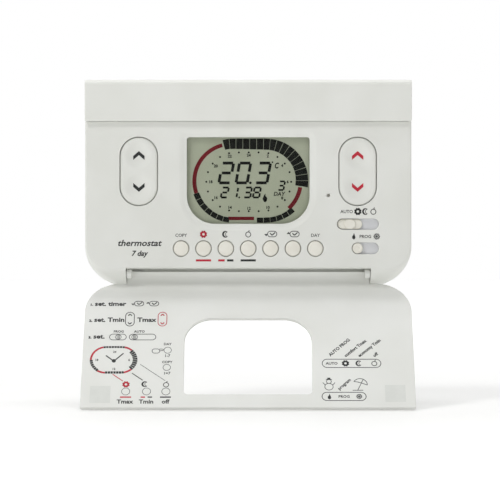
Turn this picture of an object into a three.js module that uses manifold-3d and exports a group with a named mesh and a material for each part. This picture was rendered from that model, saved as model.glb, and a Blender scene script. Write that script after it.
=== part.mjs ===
// A wall-mounted programmable room thermostat with a drop-down flap, built piece by piece.
// Millimetres. The wall is the plane y = 0 and the front faces -Y, with +X to the right and +Z up.
// The origin is the middle of the wall base's rear face. The flap is shown open, resting on its stop.
import * as THREE from "three";
import { mergeVertices } from "three/addons/utils/BufferGeometryUtils.js";
import Module from "manifold-3d";

const wasm = await Module();
wasm.setup();

// ---- Driving dimensions ----------------------------------------------------------------------

// The body as a whole: square shoulders, round lower corners, and a lower front edge that curves back.
const BODY = {
  halfWidth: 67.5,
  top: 42.5,
  bottom: -43.2,
  cornerRadius: 16.8,
  front: -28.3, // y of the panel's face
  curveY: -10, // centre of the quarter ellipse along the lower front edge
  curveZ: -34.5,
};
const GAP = 0.3; // the clearance between pieces that sit against each other
const PANEL_WALL = 1.8;
const SHELL_WALL = 1.6;
const SPLIT_Y = -16; // where the rear shell meets the front panel

// Layers from the wall forward, each as [rear face, front face] in y.
const BASE_Y = [0, -2.2];
const SHELL_BACK_Y = [-12.2, -13.8];
const BOARD_Y = [-15.5, -17.1];
const ON_BOARD = BOARD_Y[1] - GAP; // where pieces mounted on the board begin
const MAT_Y = [ON_BOARD, ON_BOARD - 1];
const DOME_TOP_Y = MAT_Y[1] - 2.9;
const STEM_TIP_Y = DOME_TOP_Y - GAP;
const GLASS_Y = [-22.7, -24.9];
const WINDOW_Y = [-25.2, -26.2];
const PANEL_BACK_Y = BODY.front + PANEL_WALL;
const FLANGE_Y = [PANEL_BACK_Y + 1.3, PANEL_BACK_Y + GAP]; // of every button
const SHUTTER_Y = [PANEL_BACK_Y + 1, PANEL_BACK_Y + GAP];

// The battery bay across the top, and the cover that closes it.
const BAY = { floorZ: [23.8, 25.1], leftX: -54.2, rightX: 52.7, wall: 1.6 };
const COVER = {
  front: -30.7,
  wall: 1.7,
  side: 1.6,
  bottom: 25.35,
  edgeRadius: 2,
  lip: 1.25,
  lipBack: -28.6,
};
const CELL = { radius: 7.2, length: 50.5, nipple: 1.4, nippleRadius: 2.7, y: -21.3, z: 33.3 };
const CELL_START_X = [-49.6, 1.2];

// The flap in its closed place, its hinge, and how far it opens.
const HINGE = { y: -24.2, z: -37.6, pinRadius: 1.2, boreRadius: 1.45, openDegrees: 143.8 };
const FLAP = {
  inner: -28.9,
  outer: -30.7,
  top: 25.1,
  bottom: -35.9,
  topRadius: 0.6,
  cornerRadius: 14,
  tongueHalf: 50.4,
  earThickness: 2,
  earRadius: 1.9,
};
const FLAP_WINDOW = { half: 26, bottom: -18.3, top: 18.7, topRadius: 1.8, bottomRadius: 11.5 };
const RECESS = { half: 50.7, ceiling: -35.5, back: -17.5, wall: 1.6 };

// The panel's openings.
const DISPLAY = { half: 25.4, bottom: -16.96, top: 18.86, topRadius: 1.2, bottomRadius: 11.6 };
const DISH = { width: 3.3, depth: 0.7 };
const ROCKER = { x: 45.25, z: 4.7, width: 15.4, height: 28.2, front: -28.1, pivotY: -25, domeZ: 9 };
const ROCKER_FLANGE = { half: 9, halfHeight: 15.5, y: [-24.1, -25.3], radius: 8 };
const BUTTON = { z: -27.2, pitch: 9.25, holeRadius: 3.4, capRadius: 3.15, flangeRadius: 4.1 };
const BUTTON_FRONT = -28.5;
const STEM_RADIUS = 1.8;
const MODE = { z: -17.1, slot: [36.7, 54], height: 4.6, knob: 10.3, ridge: 4.8 };
const SEASON = { z: -27.1, slot: [42.8, 54], height: 4.8, knobRadius: 2.2 };
const KNOB_GAP = 0.2;
const KNOB_FRONT = -28.2;
const RESET = { x: 33.2, z: -5.2, holeRadius: 0.7, flangeRadius: 1.6, stemRadius: 1.1 };

// Fastenings, as [x, z] on the board or the shell.
const HOUSING_SCREWS = [
  [-62, 19],
  [62, 19],
  [-59.5, -35],
  [59.5, -35],
];
const BOARD_SCREWS = [
  [-31.5, 19],
  [31.5, 19],
];
const BOARD = { half: 58, bottom: -32.5, top: 22.6 };
const WALL_SLOTS_X = [-41.75, -30, 30, 41.75]; // fit round and rectangular wall boxes
const CABLE_OPENING = { half: 20, bottom: -30, top: -8 };
const TERMINALS_X = [-10, 0, 10];
const BLADE_Z = 9.5;
const TERMINAL_Z = 3;

// ---- Shapes ----------------------------------------------------------------------------------

// A rectangle with its own radius at each corner: top left, top right, bottom right, bottom left.
function roundedRect(x0, x1, z0, z1, [tl, tr, br, bl]) {
  const shape = new THREE.Shape();
  const corner = (x, z, r, from) => {
    if (r > 0) shape.absarc(x, z, r, from, from + Math.PI / 2, false);
    else shape.lineTo(x, z);
  };
  shape.moveTo(x0 + bl, z0);
  corner(x1 - br, z0 + br, br, -Math.PI / 2);
  corner(x1 - tr, z1 - tr, tr, 0);
  corner(x0 + tl, z1 - tl, tl, Math.PI / 2);
  corner(x0 + bl, z0 + bl, bl, Math.PI);
  return shape;
}

// A slot or button outline with round ends, centred on x, z.
function pill(x, z, width, height) {
  const r = Math.min(width, height) / 2;
  const [w, h] = [width / 2, height / 2];
  return roundedRect(x - w, x + w, z - h, z + h, [r, r, r, r]);
}

function polygon(points) {
  return new THREE.Shape(points.map(([a, b]) => new THREE.Vector2(a, b)));
}

// ---- Solids ----------------------------------------------------------------------------------

// A closed geometry as a solid that can be joined and cut.
function solidFrom(geometry) {
  geometry.deleteAttribute("normal");
  geometry.deleteAttribute("uv");
  const merged = mergeVertices(geometry, 1e-4);
  const corners = merged.index.array;
  const faces = [];
  for (let i = 0; i < corners.length; i += 3) {
    const [a, b, c] = corners.slice(i, i + 3);
    if (a !== b && b !== c && c !== a) faces.push(a, b, c);
  }
  const vertProperties = merged.attributes.position.array;
  return new wasm.Manifold(
    new wasm.Mesh({ numProp: 3, vertProperties, triVerts: new Uint32Array(faces) }),
  );
}

// An outline drawn in x and z, given thickness from a rear y to a front y.
function plate(shape, [rear, front], curveSegments = 8) {
  const depth = rear - front;
  const geometry = new THREE.ExtrudeGeometry(shape, { depth, bevelEnabled: false, curveSegments });
  return solidFrom(geometry.rotateX(Math.PI / 2).translate(0, rear, 0));
}

// A profile drawn in y and z, carried across from one x to another.
function across(shape, [x0, x1], curveSegments = 8) {
  const depth = x1 - x0;
  const geometry = new THREE.ExtrudeGeometry(shape, { depth, bevelEnabled: false, curveSegments });
  const [X, Y, Z] = [0, 1, 2].map((i) => new THREE.Vector3().setComponent(i, 1));
  geometry.applyMatrix4(new THREE.Matrix4().makeBasis(Y, Z, X));
  return solidFrom(geometry.translate(x0, 0, 0));
}

function box([x0, x1], [y0, y1], [z0, z1]) {
  const size = [x1 - x0, y1 - y0, z1 - z0].map(Math.abs);
  const geometry = new THREE.BoxGeometry(...size);
  return solidFrom(geometry.translate((x0 + x1) / 2, (y0 + y1) / 2, (z0 + z1) / 2));
}

// A rod along Y, X or Z.
function rodY(x, z, radius, [y0, y1], sides = 16) {
  const geometry = new THREE.CylinderGeometry(radius, radius, Math.abs(y1 - y0), sides);
  return solidFrom(geometry.translate(x, (y0 + y1) / 2, z));
}

function rodX(y, z, radius, [x0, x1], sides = 16) {
  const geometry = new THREE.CylinderGeometry(radius, radius, x1 - x0, sides);
  return solidFrom(geometry.rotateZ(Math.PI / 2).translate((x0 + x1) / 2, y, z));
}

function rodZ(x, y, radius, [z0, z1], sides = 12) {
  const geometry = new THREE.CylinderGeometry(radius, radius, z1 - z0, sides);
  return solidFrom(geometry.rotateX(Math.PI / 2).translate(x, y, (z0 + z1) / 2));
}

const join = (first, ...others) => others.reduce((whole, part) => whole.add(part), first);
const cut = (first, ...others) => others.reduce((whole, part) => whole.subtract(part), first);
const sides = (make) => [-1, 1].map(make);
const span = (centre, half) => [centre - half, centre + half];
const ordered = (a, b) => [Math.min(a, b), Math.max(a, b)];

// ---- The scene graph -------------------------------------------------------------------------

const thermostat = new THREE.Group();

const finish = (color, roughness, metalness = 0) =>
  new THREE.MeshStandardMaterial({ color, roughness, metalness });
const cream = () => finish(0xe6e6df, 0.5);
const capCream = () => finish(0xe4e2d8, 0.45);
const steel = () => finish(0xc4c6c8, 0.3, 1);
const brass = () => finish(0xc9a252, 0.35, 1);

function add(name, solid, material, parent = thermostat) {
  const { vertProperties, triVerts } = solid.getMesh();
  const geometry = new THREE.BufferGeometry();
  geometry.setAttribute("position", new THREE.BufferAttribute(vertProperties, 3));
  geometry.setIndex(new THREE.BufferAttribute(triVerts, 1));
  geometry.computeVertexNormals();
  const mesh = new THREE.Mesh(geometry, material);
  mesh.name = name;
  parent.add(mesh);
  return mesh;
}

// ---- The body's form -------------------------------------------------------------------------

// Everything inside the body's outer surface moved in by inset, between two values of y.
function bodyForm(inset, [rear, front]) {
  const { halfWidth, top, bottom, cornerRadius, curveY, curveZ } = BODY;
  const r = cornerRadius - inset;
  const half = halfWidth - inset;
  const outline = roundedRect(-half, half, bottom + inset, top - inset, [0, 0, r, r]);
  const face = BODY.front + inset;
  const behind = 5;
  const profile = new THREE.Shape();
  profile.moveTo(behind, top - inset);
  profile.lineTo(face, top - inset);
  profile.lineTo(face, curveZ);
  profile.absellipse(
    curveY,
    curveZ,
    curveY - face,
    curveZ - bottom - inset,
    Math.PI,
    1.5 * Math.PI,
    false,
  );
  profile.lineTo(behind, bottom + inset);
  return plate(outline, [rear, front], 7).intersect(across(profile, [-half - 1, half + 1], 7));
}

// ---- Wall base -------------------------------------------------------------------------------

// A flat ABS plate screwed over the wall box, with a stiffening rim, four screw slots, the cable
// opening, two hooks at the top and a tab at the bottom for the locking screw.
const HOOK = { x: [32, 38], z: [37, 38.7], lipY: [-5.7, -7.2], lipZ: 40.4 };
const TAB = { half: 4, z: [-39.9, -37.2], front: -10, y: -6 };
{
  const inset = 2.2;
  const rim = 1.2;
  const rimFront = -4.5;
  const slot = { width: 4.4, height: 9 };
  const notchY = [rimFront - 1, BASE_Y[1]];
  const rimRing = cut(
    bodyForm(inset, [BASE_Y[0], rimFront]),
    bodyForm(inset + rim, [1, rimFront - 1]),
    box([-5, 5], notchY, [BODY.bottom, TAB.z[0]]),
    ...sides((side) => box(ordered(side * 31, side * 39), notchY, [HOOK.z[1], BODY.top])),
  );
  const hooks = sides((side) => {
    const x = ordered(side * HOOK.x[0], side * HOOK.x[1]);
    return join(
      box(x, [HOOK.lipY[1], BASE_Y[1] + 1], HOOK.z),
      box(x, HOOK.lipY, [HOOK.z[0], HOOK.lipZ]),
    );
  });
  const { half, bottom, top } = CABLE_OPENING;
  const openings = WALL_SLOTS_X.map((x) =>
    plate(pill(x, 0, slot.width, slot.height), [1, -5], 3),
  );
  const base = join(
    bodyForm(inset, BASE_Y),
    rimRing,
    ...hooks,
    box(span(0, TAB.half), [TAB.front, BASE_Y[1] + 1], TAB.z),
  );
  const solid = cut(
    base,
    ...openings,
    plate(roundedRect(-half, half, bottom, top, [3, 3, 3, 3]), [1, -5], 4),
    rodZ(0, TAB.y, 1.45, [TAB.z[0] - 1, TAB.z[1] + 1]),
  );
  add("wall_base", solid, finish(0xd9d9d4, 0.6));
}

// ---- Terminal block --------------------------------------------------------------------------

// Three screw clamps in a moulded block: wires come in from below, blades plug in from the front.
const BLOCK = { half: 16, y: [-2.5, -11.9], z: [-3, 13] };
{
  const pocket = { half: 3, y: [-3.6, -8.6], top: 6.2 };
  const well = 2.7;
  const bladeSlot = { half: 0.7, halfHeight: 2.4, depth: -6 };
  const clamp = { half: 2.7, y: [-3.9, -8.2], z: [0.2, 5.9] };
  const wireHole = { half: 1.7, y: [-5, -7.1] };
  const cuts = TERMINALS_X.flatMap((x) => [
    box(span(x, pocket.half), pocket.y, [BLOCK.z[0] - 1, pocket.top]),
    rodY(x, TERMINAL_Z, well, [pocket.y[1] + 1, BLOCK.y[1] - 1], 12),
    box(
      span(x, bladeSlot.half),
      [bladeSlot.depth, BLOCK.y[1] - 1],
      span(BLADE_Z, bladeSlot.halfHeight),
    ),
  ]);
  const block = cut(box(span(0, BLOCK.half), BLOCK.y, BLOCK.z), ...cuts);
  add("terminal_block", block, finish(0x3a3d40, 0.55));

  TERMINALS_X.forEach((x, i) => {
    const cage = cut(
      box(span(x, clamp.half), clamp.y, clamp.z),
      box(span(x, wireHole.half), wireHole.y, [clamp.z[0] - 1, clamp.z[1] + 1]),
      rodY(x, TERMINAL_Z, 1.45, [wireHole.y[1] + 0.5, clamp.y[1] - 1], 12),
    );
    add("terminal_clamp_" + (i + 1), cage, brass());
    const screw = join(
      rodY(x, TERMINAL_Z, 2.4, [-8.6, -10.2], 12),
      rodY(x, TERMINAL_Z, 1.2, [-6.4, -9], 8),
    );
    const driverSlot = box(span(x, 2.6), [-9.6, -11], span(TERMINAL_Z, 0.4));
    add("terminal_screw_" + (i + 1), cut(screw, driverSlot), steel());
    const blade = box(span(x, 0.4), [BOARD_Y[0] + GAP, -7], span(BLADE_Z, 1.9));
    add("contact_blade_" + (i + 1), blade, brass());
  });
}

// ---- Rear shell ------------------------------------------------------------------------------

// The tray behind the electronics. Its skirt hides the wall base, and its back wall carries the
// board, the battery bay and the blades.
const SKIRT_Y = [-1, SPLIT_Y];
{
  const vent = { width: 2, pitch: 5, count: 6, start: 12, y: [-6.5, -11.5] };
  const boss = { radius: 3.4, z: [-42.4, -40.2] };
  const skirt = cut(bodyForm(0, SKIRT_Y), bodyForm(SHELL_WALL, [1, SPLIT_Y - 1]));
  const ledges = sides((side) =>
    box(
      ordered(side * (HOOK.x[0] + 0.5), side * (HOOK.x[1] - 0.5)),
      [-5.4, -3],
      [HOOK.z[1] + 0.5, BODY.top - 1],
    ),
  );
  const standoffs = [...BOARD_SCREWS, [-48, -24], [48, -24]].map(([x, z]) =>
    rodY(x, z, 2.4, [SHELL_BACK_Y[1] + 0.5, BOARD_Y[0] + GAP], 12),
  );
  const vents = sides((side) =>
    Array.from({ length: vent.count }, (_, i) => {
      const x = span(side * (vent.start + i * vent.pitch), vent.width / 2);
      return [
        box(x, vent.y, [BODY.bottom - 1, BODY.bottom + 3]),
        box(x, vent.y, [BODY.top - 3, BODY.top + 1]),
      ];
    }),
  ).flat(2);
  const body = join(
    skirt,
    bodyForm(SHELL_WALL / 2, SHELL_BACK_Y),
    ...ledges,
    ...standoffs,
    rodZ(0, TAB.y, boss.radius, boss.z),
  );
  const through = [SHELL_BACK_Y[0] + 1, BOARD_Y[0] + 1].map((y, i) => (i ? -17 : y));
  const solid = cut(
    body,
    ...vents,
    ...HOUSING_SCREWS.map(([x, z]) => rodY(x, z, 1.5, through, 12)),
    ...BOARD_SCREWS.map(([x, z]) => rodY(x, z, 1.2, through, 12)),
    ...TERMINALS_X.map((x) => box(span(x, 0.8), through, span(BLADE_Z, 2.3))),
    rodZ(0, TAB.y, 2.6, [BODY.bottom - 1, BODY.bottom + 1.2]),
    rodZ(0, TAB.y, 1.5, [BODY.bottom, boss.z[1] + 1]),
  );
  add("rear_shell", solid, cream());
}

// ---- Front panel -----------------------------------------------------------------------------

// The moulded front: every control looks out through it, and its two feet carry the flap's pins.
const buttonX = (i) => (i - 3) * BUTTON.pitch;
const displayShape = () =>
  roundedRect(-DISPLAY.half, DISPLAY.half, DISPLAY.bottom, DISPLAY.top, [
    DISPLAY.topRadius,
    DISPLAY.topRadius,
    DISPLAY.bottomRadius,
    DISPLAY.bottomRadius,
  ]);
const SHUTTER = { mode: [12.8, 3.4], season: [9.5, 3.3] }; // half sizes in x and z
{
  const frontY = [SPLIT_Y - GAP, -40];
  const thick = [PANEL_BACK_Y + 2, BODY.front - 1]; // right through the panel's face
  const { half, ceiling, back, wall } = RECESS;
  const above = box([-80, 80], [-40, 10], [BAY.floorZ[1], 60]);
  const lowerBlock = box([-half - wall, half + wall], [-40, 10], [-60, ceiling + wall]);
  const shell = cut(bodyForm(0, frontY), bodyForm(PANEL_WALL, [-10, -40]), above);
  const floor = join(
    box([-65.4, 65.4], [-27, SHELL_BACK_Y[1] - GAP], BAY.floorZ),
    box([-66.5, 66.5], [-27, frontY[0]], BAY.floorZ),
  );
  const endWalls = [
    [BAY.leftX - BAY.wall, BAY.leftX],
    [BAY.rightX, BAY.rightX + BAY.wall],
  ].map((x) => box(x, [-28, SHELL_BACK_Y[1] - GAP], [BAY.floorZ[1] - 0.5, 40.5]));
  const posts = HOUSING_SCREWS.map(([x, z]) =>
    rodY(x, z, 2.6, [SHELL_BACK_Y[1] - GAP, z > 0 ? PANEL_BACK_Y - 0.5 : -26], 12),
  );
  const ears = sides((side) =>
    sides((end) =>
      box(
        ordered(side * ROCKER.x + end * 9.4, side * ROCKER.x + end * 11),
        [PANEL_BACK_Y - 0.5, -23.4],
        span(ROCKER.z, 1.8),
      ),
    ),
  ).flat();
  const rails = [
    [MODE.z, SHUTTER.mode[1], 30],
    [SEASON.z, SHUTTER.season[1], 36],
  ].flatMap(([z, halfHeight, x0]) =>
    sides((end) =>
      box(
        [x0, 61.5],
        [PANEL_BACK_Y - 0.5, SHUTTER_Y[0] + 0.2],
        ordered(z + end * (halfHeight + GAP), z + end * (halfHeight + GAP + 0.8)),
      ),
    ),
  );
  const resetGuide = rodY(RESET.x, RESET.z, 2.5, [-23.2, PANEL_BACK_Y - 0.5], 16);
  const body = join(
    shell,
    bodyForm(0, frontY).intersect(lowerBlock),
    floor,
    ...endWalls,
    ...posts,
    ...ears,
    ...rails,
    resetGuide,
  );

  const dish = new THREE.ExtrudeGeometry(displayShape(), {
    depth: 1,
    bevelThickness: DISH.depth,
    bevelSize: DISH.width,
    bevelSegments: 2,
    curveSegments: 8,
  });
  const buttonHoles = Array.from({ length: 7 }, (_, i) =>
    rodY(buttonX(i), BUTTON.z, BUTTON.holeRadius, thick),
  );
  const rockerHoles = sides((side) =>
    plate(pill(side * ROCKER.x, ROCKER.z, ROCKER.width + 0.5, ROCKER.height + 0.5), thick, 6),
  );
  const slots = [MODE, SEASON].map(({ slot: [x0, x1], z, height }) =>
    plate(pill((x0 + x1) / 2, z, x1 - x0, height), thick, 4),
  );
  const solid = cut(
    body,
    box(span(0, half), [-40, back], [-60, ceiling]),
    rodX(HINGE.y, HINGE.z, HINGE.boreRadius, [-54, -50], 16),
    rodX(HINGE.y, HINGE.z, HINGE.boreRadius, [50, 54], 16),
    plate(displayShape(), thick),
    solidFrom(dish.rotateX(Math.PI / 2).translate(0, BODY.front, 0)),
    ...buttonHoles,
    ...rockerHoles,
    ...slots,
    rodY(RESET.x, RESET.z, RESET.holeRadius, thick, 8),
    rodY(RESET.x, RESET.z, RESET.flangeRadius + GAP, [PANEL_BACK_Y, -20], 16),
    ...HOUSING_SCREWS.map(([x, z]) => rodY(x, z, 1.45, [-10, -24.2], 12)),
    ...sides((side) =>
      rodX(ROCKER.pivotY, ROCKER.z, 1.05, span(side * ROCKER.x, 12), 12),
    ),
  );
  add("front_panel", solid, cream());
}

// ---- Battery bay -----------------------------------------------------------------------------

// The raised strip across the top pulls straight off forwards.
const coverPivot = new THREE.Group();
thermostat.add(coverPivot);
{
  const { front, wall, side, bottom, edgeRadius: r, lip, lipBack } = COVER;
  const rear = SPLIT_Y - GAP;
  const { top, halfWidth } = BODY;
  const outer = (shape) => {
    shape.moveTo(rear, top);
    shape.lineTo(front + r, top);
    shape.absarc(front + r, top - r, r, Math.PI / 2, Math.PI, false);
    shape.lineTo(front, bottom);
    return shape;
  };
  const section = outer(new THREE.Shape());
  section.lineTo(lipBack, bottom);
  section.lineTo(lipBack, bottom + lip);
  section.lineTo(front + wall, bottom + lip);
  section.lineTo(front + wall, top - side);
  section.lineTo(rear, top - side);
  const end = outer(new THREE.Shape());
  end.lineTo(rear, bottom);
  const guides = sides((s) =>
    box(ordered(s * 57, s * 63), [lipBack - 0.5, -21], [bottom + 0.05, bottom + lip]),
  );
  const solid = join(
    across(section, [-halfWidth, halfWidth], 6),
    across(end, [-halfWidth, -halfWidth + side], 6),
    across(end, [halfWidth - side, halfWidth], 6),
    ...guides,
  );
  add("battery_cover", solid, cream(), coverPivot);
}

// Two AA cells end to end, a sprung contact at one end and a flat one at the other.
CELL_START_X.forEach((x, i) => {
  const { radius, length, nipple, nippleRadius, y, z } = CELL;
  const can = rodX(y, z, radius, [x, x + length - nipple], 24);
  const cap = rodX(y, z, nippleRadius, [x + length - nipple - 0.5, x + length], 12);
  add("battery_" + (i + 1), join(can, cap), finish(0x2c2f33, 0.4));
});

class ConicalCoil extends THREE.Curve {
  constructor(x0, x1, r0, r1, turns) {
    super();
    Object.assign(this, { x0, x1, r0, r1, turns });
  }
  getPoint(t, target = new THREE.Vector3()) {
    const angle = t * this.turns * 2 * Math.PI;
    const r = this.r0 + (this.r1 - this.r0) * t;
    const x = this.x0 + (this.x1 - this.x0) * t;
    return target.set(x, CELL.y + r * Math.cos(angle), CELL.z + r * Math.sin(angle));
  }
}
{
  const contact = { thickness: 0.4, half: 4 };
  const square = [span(CELL.y, contact.half), span(CELL.z, contact.half)];
  const backX = BAY.leftX + GAP;
  const wire = new THREE.Shape().absarc(0, 0, 0.4, 0, 2 * Math.PI, false);
  const coil = new THREE.ExtrudeGeometry(wire, {
    steps: 36,
    curveSegments: 3,
    extrudePath: new ConicalCoil(backX + 0.6, CELL_START_X[0] - 0.75, 3.4, 2, 3),
  });
  const spring = join(box([backX, backX + contact.thickness], ...square), solidFrom(coil));
  add("battery_spring", spring, steel());
  const plateX = BAY.rightX - GAP;
  add("battery_plate", box([plateX - contact.thickness, plateX], ...square), steel());
}

// ---- Display ---------------------------------------------------------------------------------

{
  const glass = { half: 27.2, z: [-18.7, 20.8] };
  const lens = roundedRect(-27.4, 27.4, -18.9, 21, [1, 1, 1, 1]);
  add("display_window", plate(lens, WINDOW_Y, 3), finish(0xdfe6e2, 0.08));
  add("lcd_glass", box(span(0, glass.half), GLASS_Y, glass.z), finish(0xa8ac98, 0.2));

  // The frame stands on the board and holds the glass at its edge, over the two zebra strips.
  const frame = cut(
    box([-28.9, 28.9], [ON_BOARD, GLASS_Y[1]], [-20.4, 22.4]),
    box([-27.5, 27.5], [GLASS_Y[0] + GAP, -26], [-19, 21.1]),
    box([-26, 26], [-10, -26], [-17.8, 19.9]),
  );
  add("lcd_frame", frame, finish(0xdcdcd6, 0.6));
  const stripY = [ON_BOARD, GLASS_Y[0] + GAP];
  const strip = () => finish(0x3b3b40, 0.8);
  add("zebra_upper", box([-24, 24], stripY, [17.6, 19.6]), strip());
  add("zebra_lower", box([-24, 24], stripY, [-17.5, -15.5]), strip());
}

// ---- Board and what is on it -----------------------------------------------------------------

{
  const board = cut(
    box(span(0, BOARD.half), BOARD_Y, [BOARD.bottom, BOARD.top]),
    ...BOARD_SCREWS.map(([x, z]) => rodY(x, z, 1.25, [-10, -20], 12)),
  );
  add("main_board", board, finish(0x2f6a45, 0.5));
  const onBoard = (x, height, z) => box(x, [ON_BOARD, ON_BOARD - height], z);
  add("relay", onBoard([-56, -37], 8, [-29.5, -14.5]), finish(0x23262a, 0.45));
  add("microcontroller", onBoard([-7, 7], 1.5, [-2, 12]), finish(0x1d1f22, 0.5));
  add("quartz_crystal", rodX(ON_BOARD - 1, -8, 1, [6, 13], 12), steel());
  add("storage_capacitor", rodX(ON_BOARD - 2.4, -8, 2.4, [-20, -9], 16), finish(0x2b3550, 0.4));

  const bead = new THREE.SphereGeometry(1.3, 8, 6).translate(-56.6, ON_BOARD - 3.6, -6);
  const leads = sides((side) =>
    rodY(-56.6 + side * 0.6, -6, 0.3, [ON_BOARD, ON_BOARD - 3.4], 6),
  );
  add("temperature_sensor", join(solidFrom(bead), ...leads), finish(0x5b4a2e, 0.4));

  // Each slide switch has a channel that its slider's leg runs in.
  const channelY = [-23, -21];
  const modeBody = cut(
    onBoard([36.6, 52.2], 5, span(MODE.z, 2.9)),
    box([40.6, 50.2], channelY, span(MODE.z, 1.4)),
  );
  add("mode_switch_body", modeBody, finish(0x2a2c2e, 0.5));
  const seasonBody = cut(
    onBoard([40, 56], 5, span(SEASON.z, 2.9)),
    box([43.6, 53.3], channelY, span(SEASON.z, 1.4)),
  );
  add("season_switch_body", seasonBody, finish(0x2a2c2e, 0.5));
  const resetBody = cut(
    onBoard(span(RESET.x, 3), 3.5, span(RESET.z, 3)),
    rodY(RESET.x, RESET.z, RESET.stemRadius + GAP, [-19.9, -22], 16),
  );
  add("reset_switch_body", resetBody, finish(0x2a2c2e, 0.5));

  // One silicone sheet lies under all the buttons and rockers, with a dome for each contact.
  const sheet = [
    box([-35, 35], MAT_Y, [-31.5, -23]),
    ...sides((s) => box(ordered(s * 31, s * 35), MAT_Y, [-31.5, -9.5])),
    ...sides((s) => box(ordered(s * 31, s * 53.5), MAT_Y, [-12.8, -9.5])),
    ...sides((s) => box(ordered(s * 37, s * 53.5), MAT_Y, [-12.8, 20.5])),
  ];
  const dome = ([x, z]) => {
    const height = MAT_Y[1] - DOME_TOP_Y + 0.4;
    const geometry = new THREE.CylinderGeometry(2.9, 2.1, height, 12);
    return solidFrom(geometry.translate(x, DOME_TOP_Y + height / 2, z));
  };
  const domes = [
    ...Array.from({ length: 7 }, (_, i) => [buttonX(i), BUTTON.z]),
    ...sides((s) => sides((e) => [s * ROCKER.x, ROCKER.z + e * ROCKER.domeZ])).flat(),
  ];
  add("keypad_mat", join(...sheet, ...domes.map(dome)), finish(0x8d9296, 0.8));
}

// ---- Screws ----------------------------------------------------------------------------------

// A pan-head screw along Y: its head from headY to shankY, its shank on to tipY, and a cross recess.
function screwY(x, z, headRadius, shankRadius, headY, shankY, tipY) {
  const inward = Math.sign(tipY - headY);
  const recess = [headY - inward, headY + inward * 0.7];
  return cut(
    join(
      rodY(x, z, headRadius, [headY, shankY], 12),
      rodY(x, z, shankRadius, [shankY - inward * 0.2, tipY], 8),
    ),
    box(span(x, headRadius * 0.6), recess, span(z, 0.3)),
    box(span(x, 0.3), recess, span(z, headRadius * 0.6)),
  );
}
HOUSING_SCREWS.forEach(([x, z], i) =>
  add("housing_screw_" + (i + 1), screwY(x, z, 2.5, 1.25, -10.6, -12, -23.8), steel()),
);
BOARD_SCREWS.forEach(([x, z], i) =>
  add("board_screw_" + (i + 1), screwY(x, z, 2.1, 1, ON_BOARD - 1.2, ON_BOARD, -12.6), steel()),
);
{
  const head = rodZ(0, TAB.y, 2.2, [BODY.bottom + 0.1, BODY.bottom + 1]);
  const shank = rodZ(0, TAB.y, 1.2, [BODY.bottom + 0.8, -35.5]);
  const slot = box([-1.9, 1.9], span(TAB.y, 0.3), [BODY.bottom - 0.5, BODY.bottom + 0.6]);
  add("base_screw", cut(join(head, shank), slot), steel());
}

// ---- Buttons ---------------------------------------------------------------------------------

// Each button is turned in one piece: cap, flange behind the panel, and stem down to its dome.
const BUTTON_NAMES = [
  "button_copy",
  "button_comfort",
  "button_economy",
  "button_off",
  "button_clock_forward",
  "button_clock_back",
  "button_day",
];
BUTTON_NAMES.forEach((name, i) => {
  const profile = [
    [0, BUTTON_FRONT],
    [BUTTON.capRadius - 0.4, BUTTON_FRONT],
    [BUTTON.capRadius, BUTTON_FRONT + 0.4],
    [BUTTON.capRadius, FLANGE_Y[1]],
    [BUTTON.flangeRadius, FLANGE_Y[1]],
    [BUTTON.flangeRadius, FLANGE_Y[0]],
    [STEM_RADIUS, FLANGE_Y[0]],
    [STEM_RADIUS, STEM_TIP_Y],
    [0, STEM_TIP_Y],
  ].map(([r, y]) => new THREE.Vector2(r, y));
  const geometry = new THREE.LatheGeometry(profile, 16);
  const button = add(name, solidFrom(geometry), capCream());
  button.position.set(buttonX(i), 0, BUTTON.z);
});

// ---- Rockers ---------------------------------------------------------------------------------

// A pill-shaped key on two short pivot pins, with a leg over a dome at each end.
function rocker() {
  const { width, height, front, pivotY, domeZ } = ROCKER;
  const { half, halfHeight, y, radius: r } = ROCKER_FLANGE;
  return join(
    plate(pill(0, 0, width, height), [y[1] + 0.5, front], 6),
    plate(roundedRect(-half, half, -halfHeight, halfHeight, [r, r, r, r]), y, 4),
    rodX(pivotY, 0, 0.8, [-10.6, 10.6], 12),
    ...sides((end) => rodY(0, end * domeZ, STEM_RADIUS, [y[0] - 0.5, STEM_TIP_Y], 16)),
  );
}
for (const [name, side] of [
  ["rocker_economy", -1],
  ["rocker_comfort", 1],
]) {
  add(name, rocker(), capCream()).position.set(side * ROCKER.x, 0, ROCKER.z);
}

// ---- Sliders and reset -----------------------------------------------------------------------

// A slider's knob stands in its slot on a shutter plate that closes the slot behind it, and a leg
// reaches back into the switch.
function slider(knob, [halfX, halfZ]) {
  return join(
    knob,
    box(span(0, halfX), SHUTTER_Y, span(0, halfZ)),
    box(span(0, 1.1), [SHUTTER_Y[0] - 0.2, -21.4], span(0, 1)),
  );
}
{
  const { slot, height, knob: width, ridge, z } = MODE;
  const tall = height - 2 * KNOB_GAP;
  const knob = join(
    plate(pill(0, 0, width, tall), [SHUTTER_Y[1] + 0.3, KNOB_FRONT + 0.8], 4),
    plate(pill(0, 0, ridge, tall), [SHUTTER_Y[1], KNOB_FRONT], 4),
  );
  const modeSlider = add("mode_slider", slider(knob, SHUTTER.mode), capCream());
  modeSlider.position.set(slot[0] + KNOB_GAP + width / 2, 0, z);
}
{
  const { slot, knobRadius, z } = SEASON;
  const knob = rodY(0, 0, knobRadius, [SHUTTER_Y[1] + 0.3, KNOB_FRONT]);
  const seasonSlider = add("season_slider", slider(knob, SHUTTER.season), capCream());
  seasonSlider.position.set(slot[0] + KNOB_GAP + knobRadius, 0, z);
}
{
  const { x, z, flangeRadius, stemRadius } = RESET;
  const solid = join(
    rodY(0, 0, flangeRadius, FLANGE_Y, 16),
    rodY(0, 0, stemRadius, [FLANGE_Y[0] - 0.2, -20.6], 16),
  );
  add("reset_plunger", solid, capCream()).position.set(x, 0, z);
}

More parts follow.
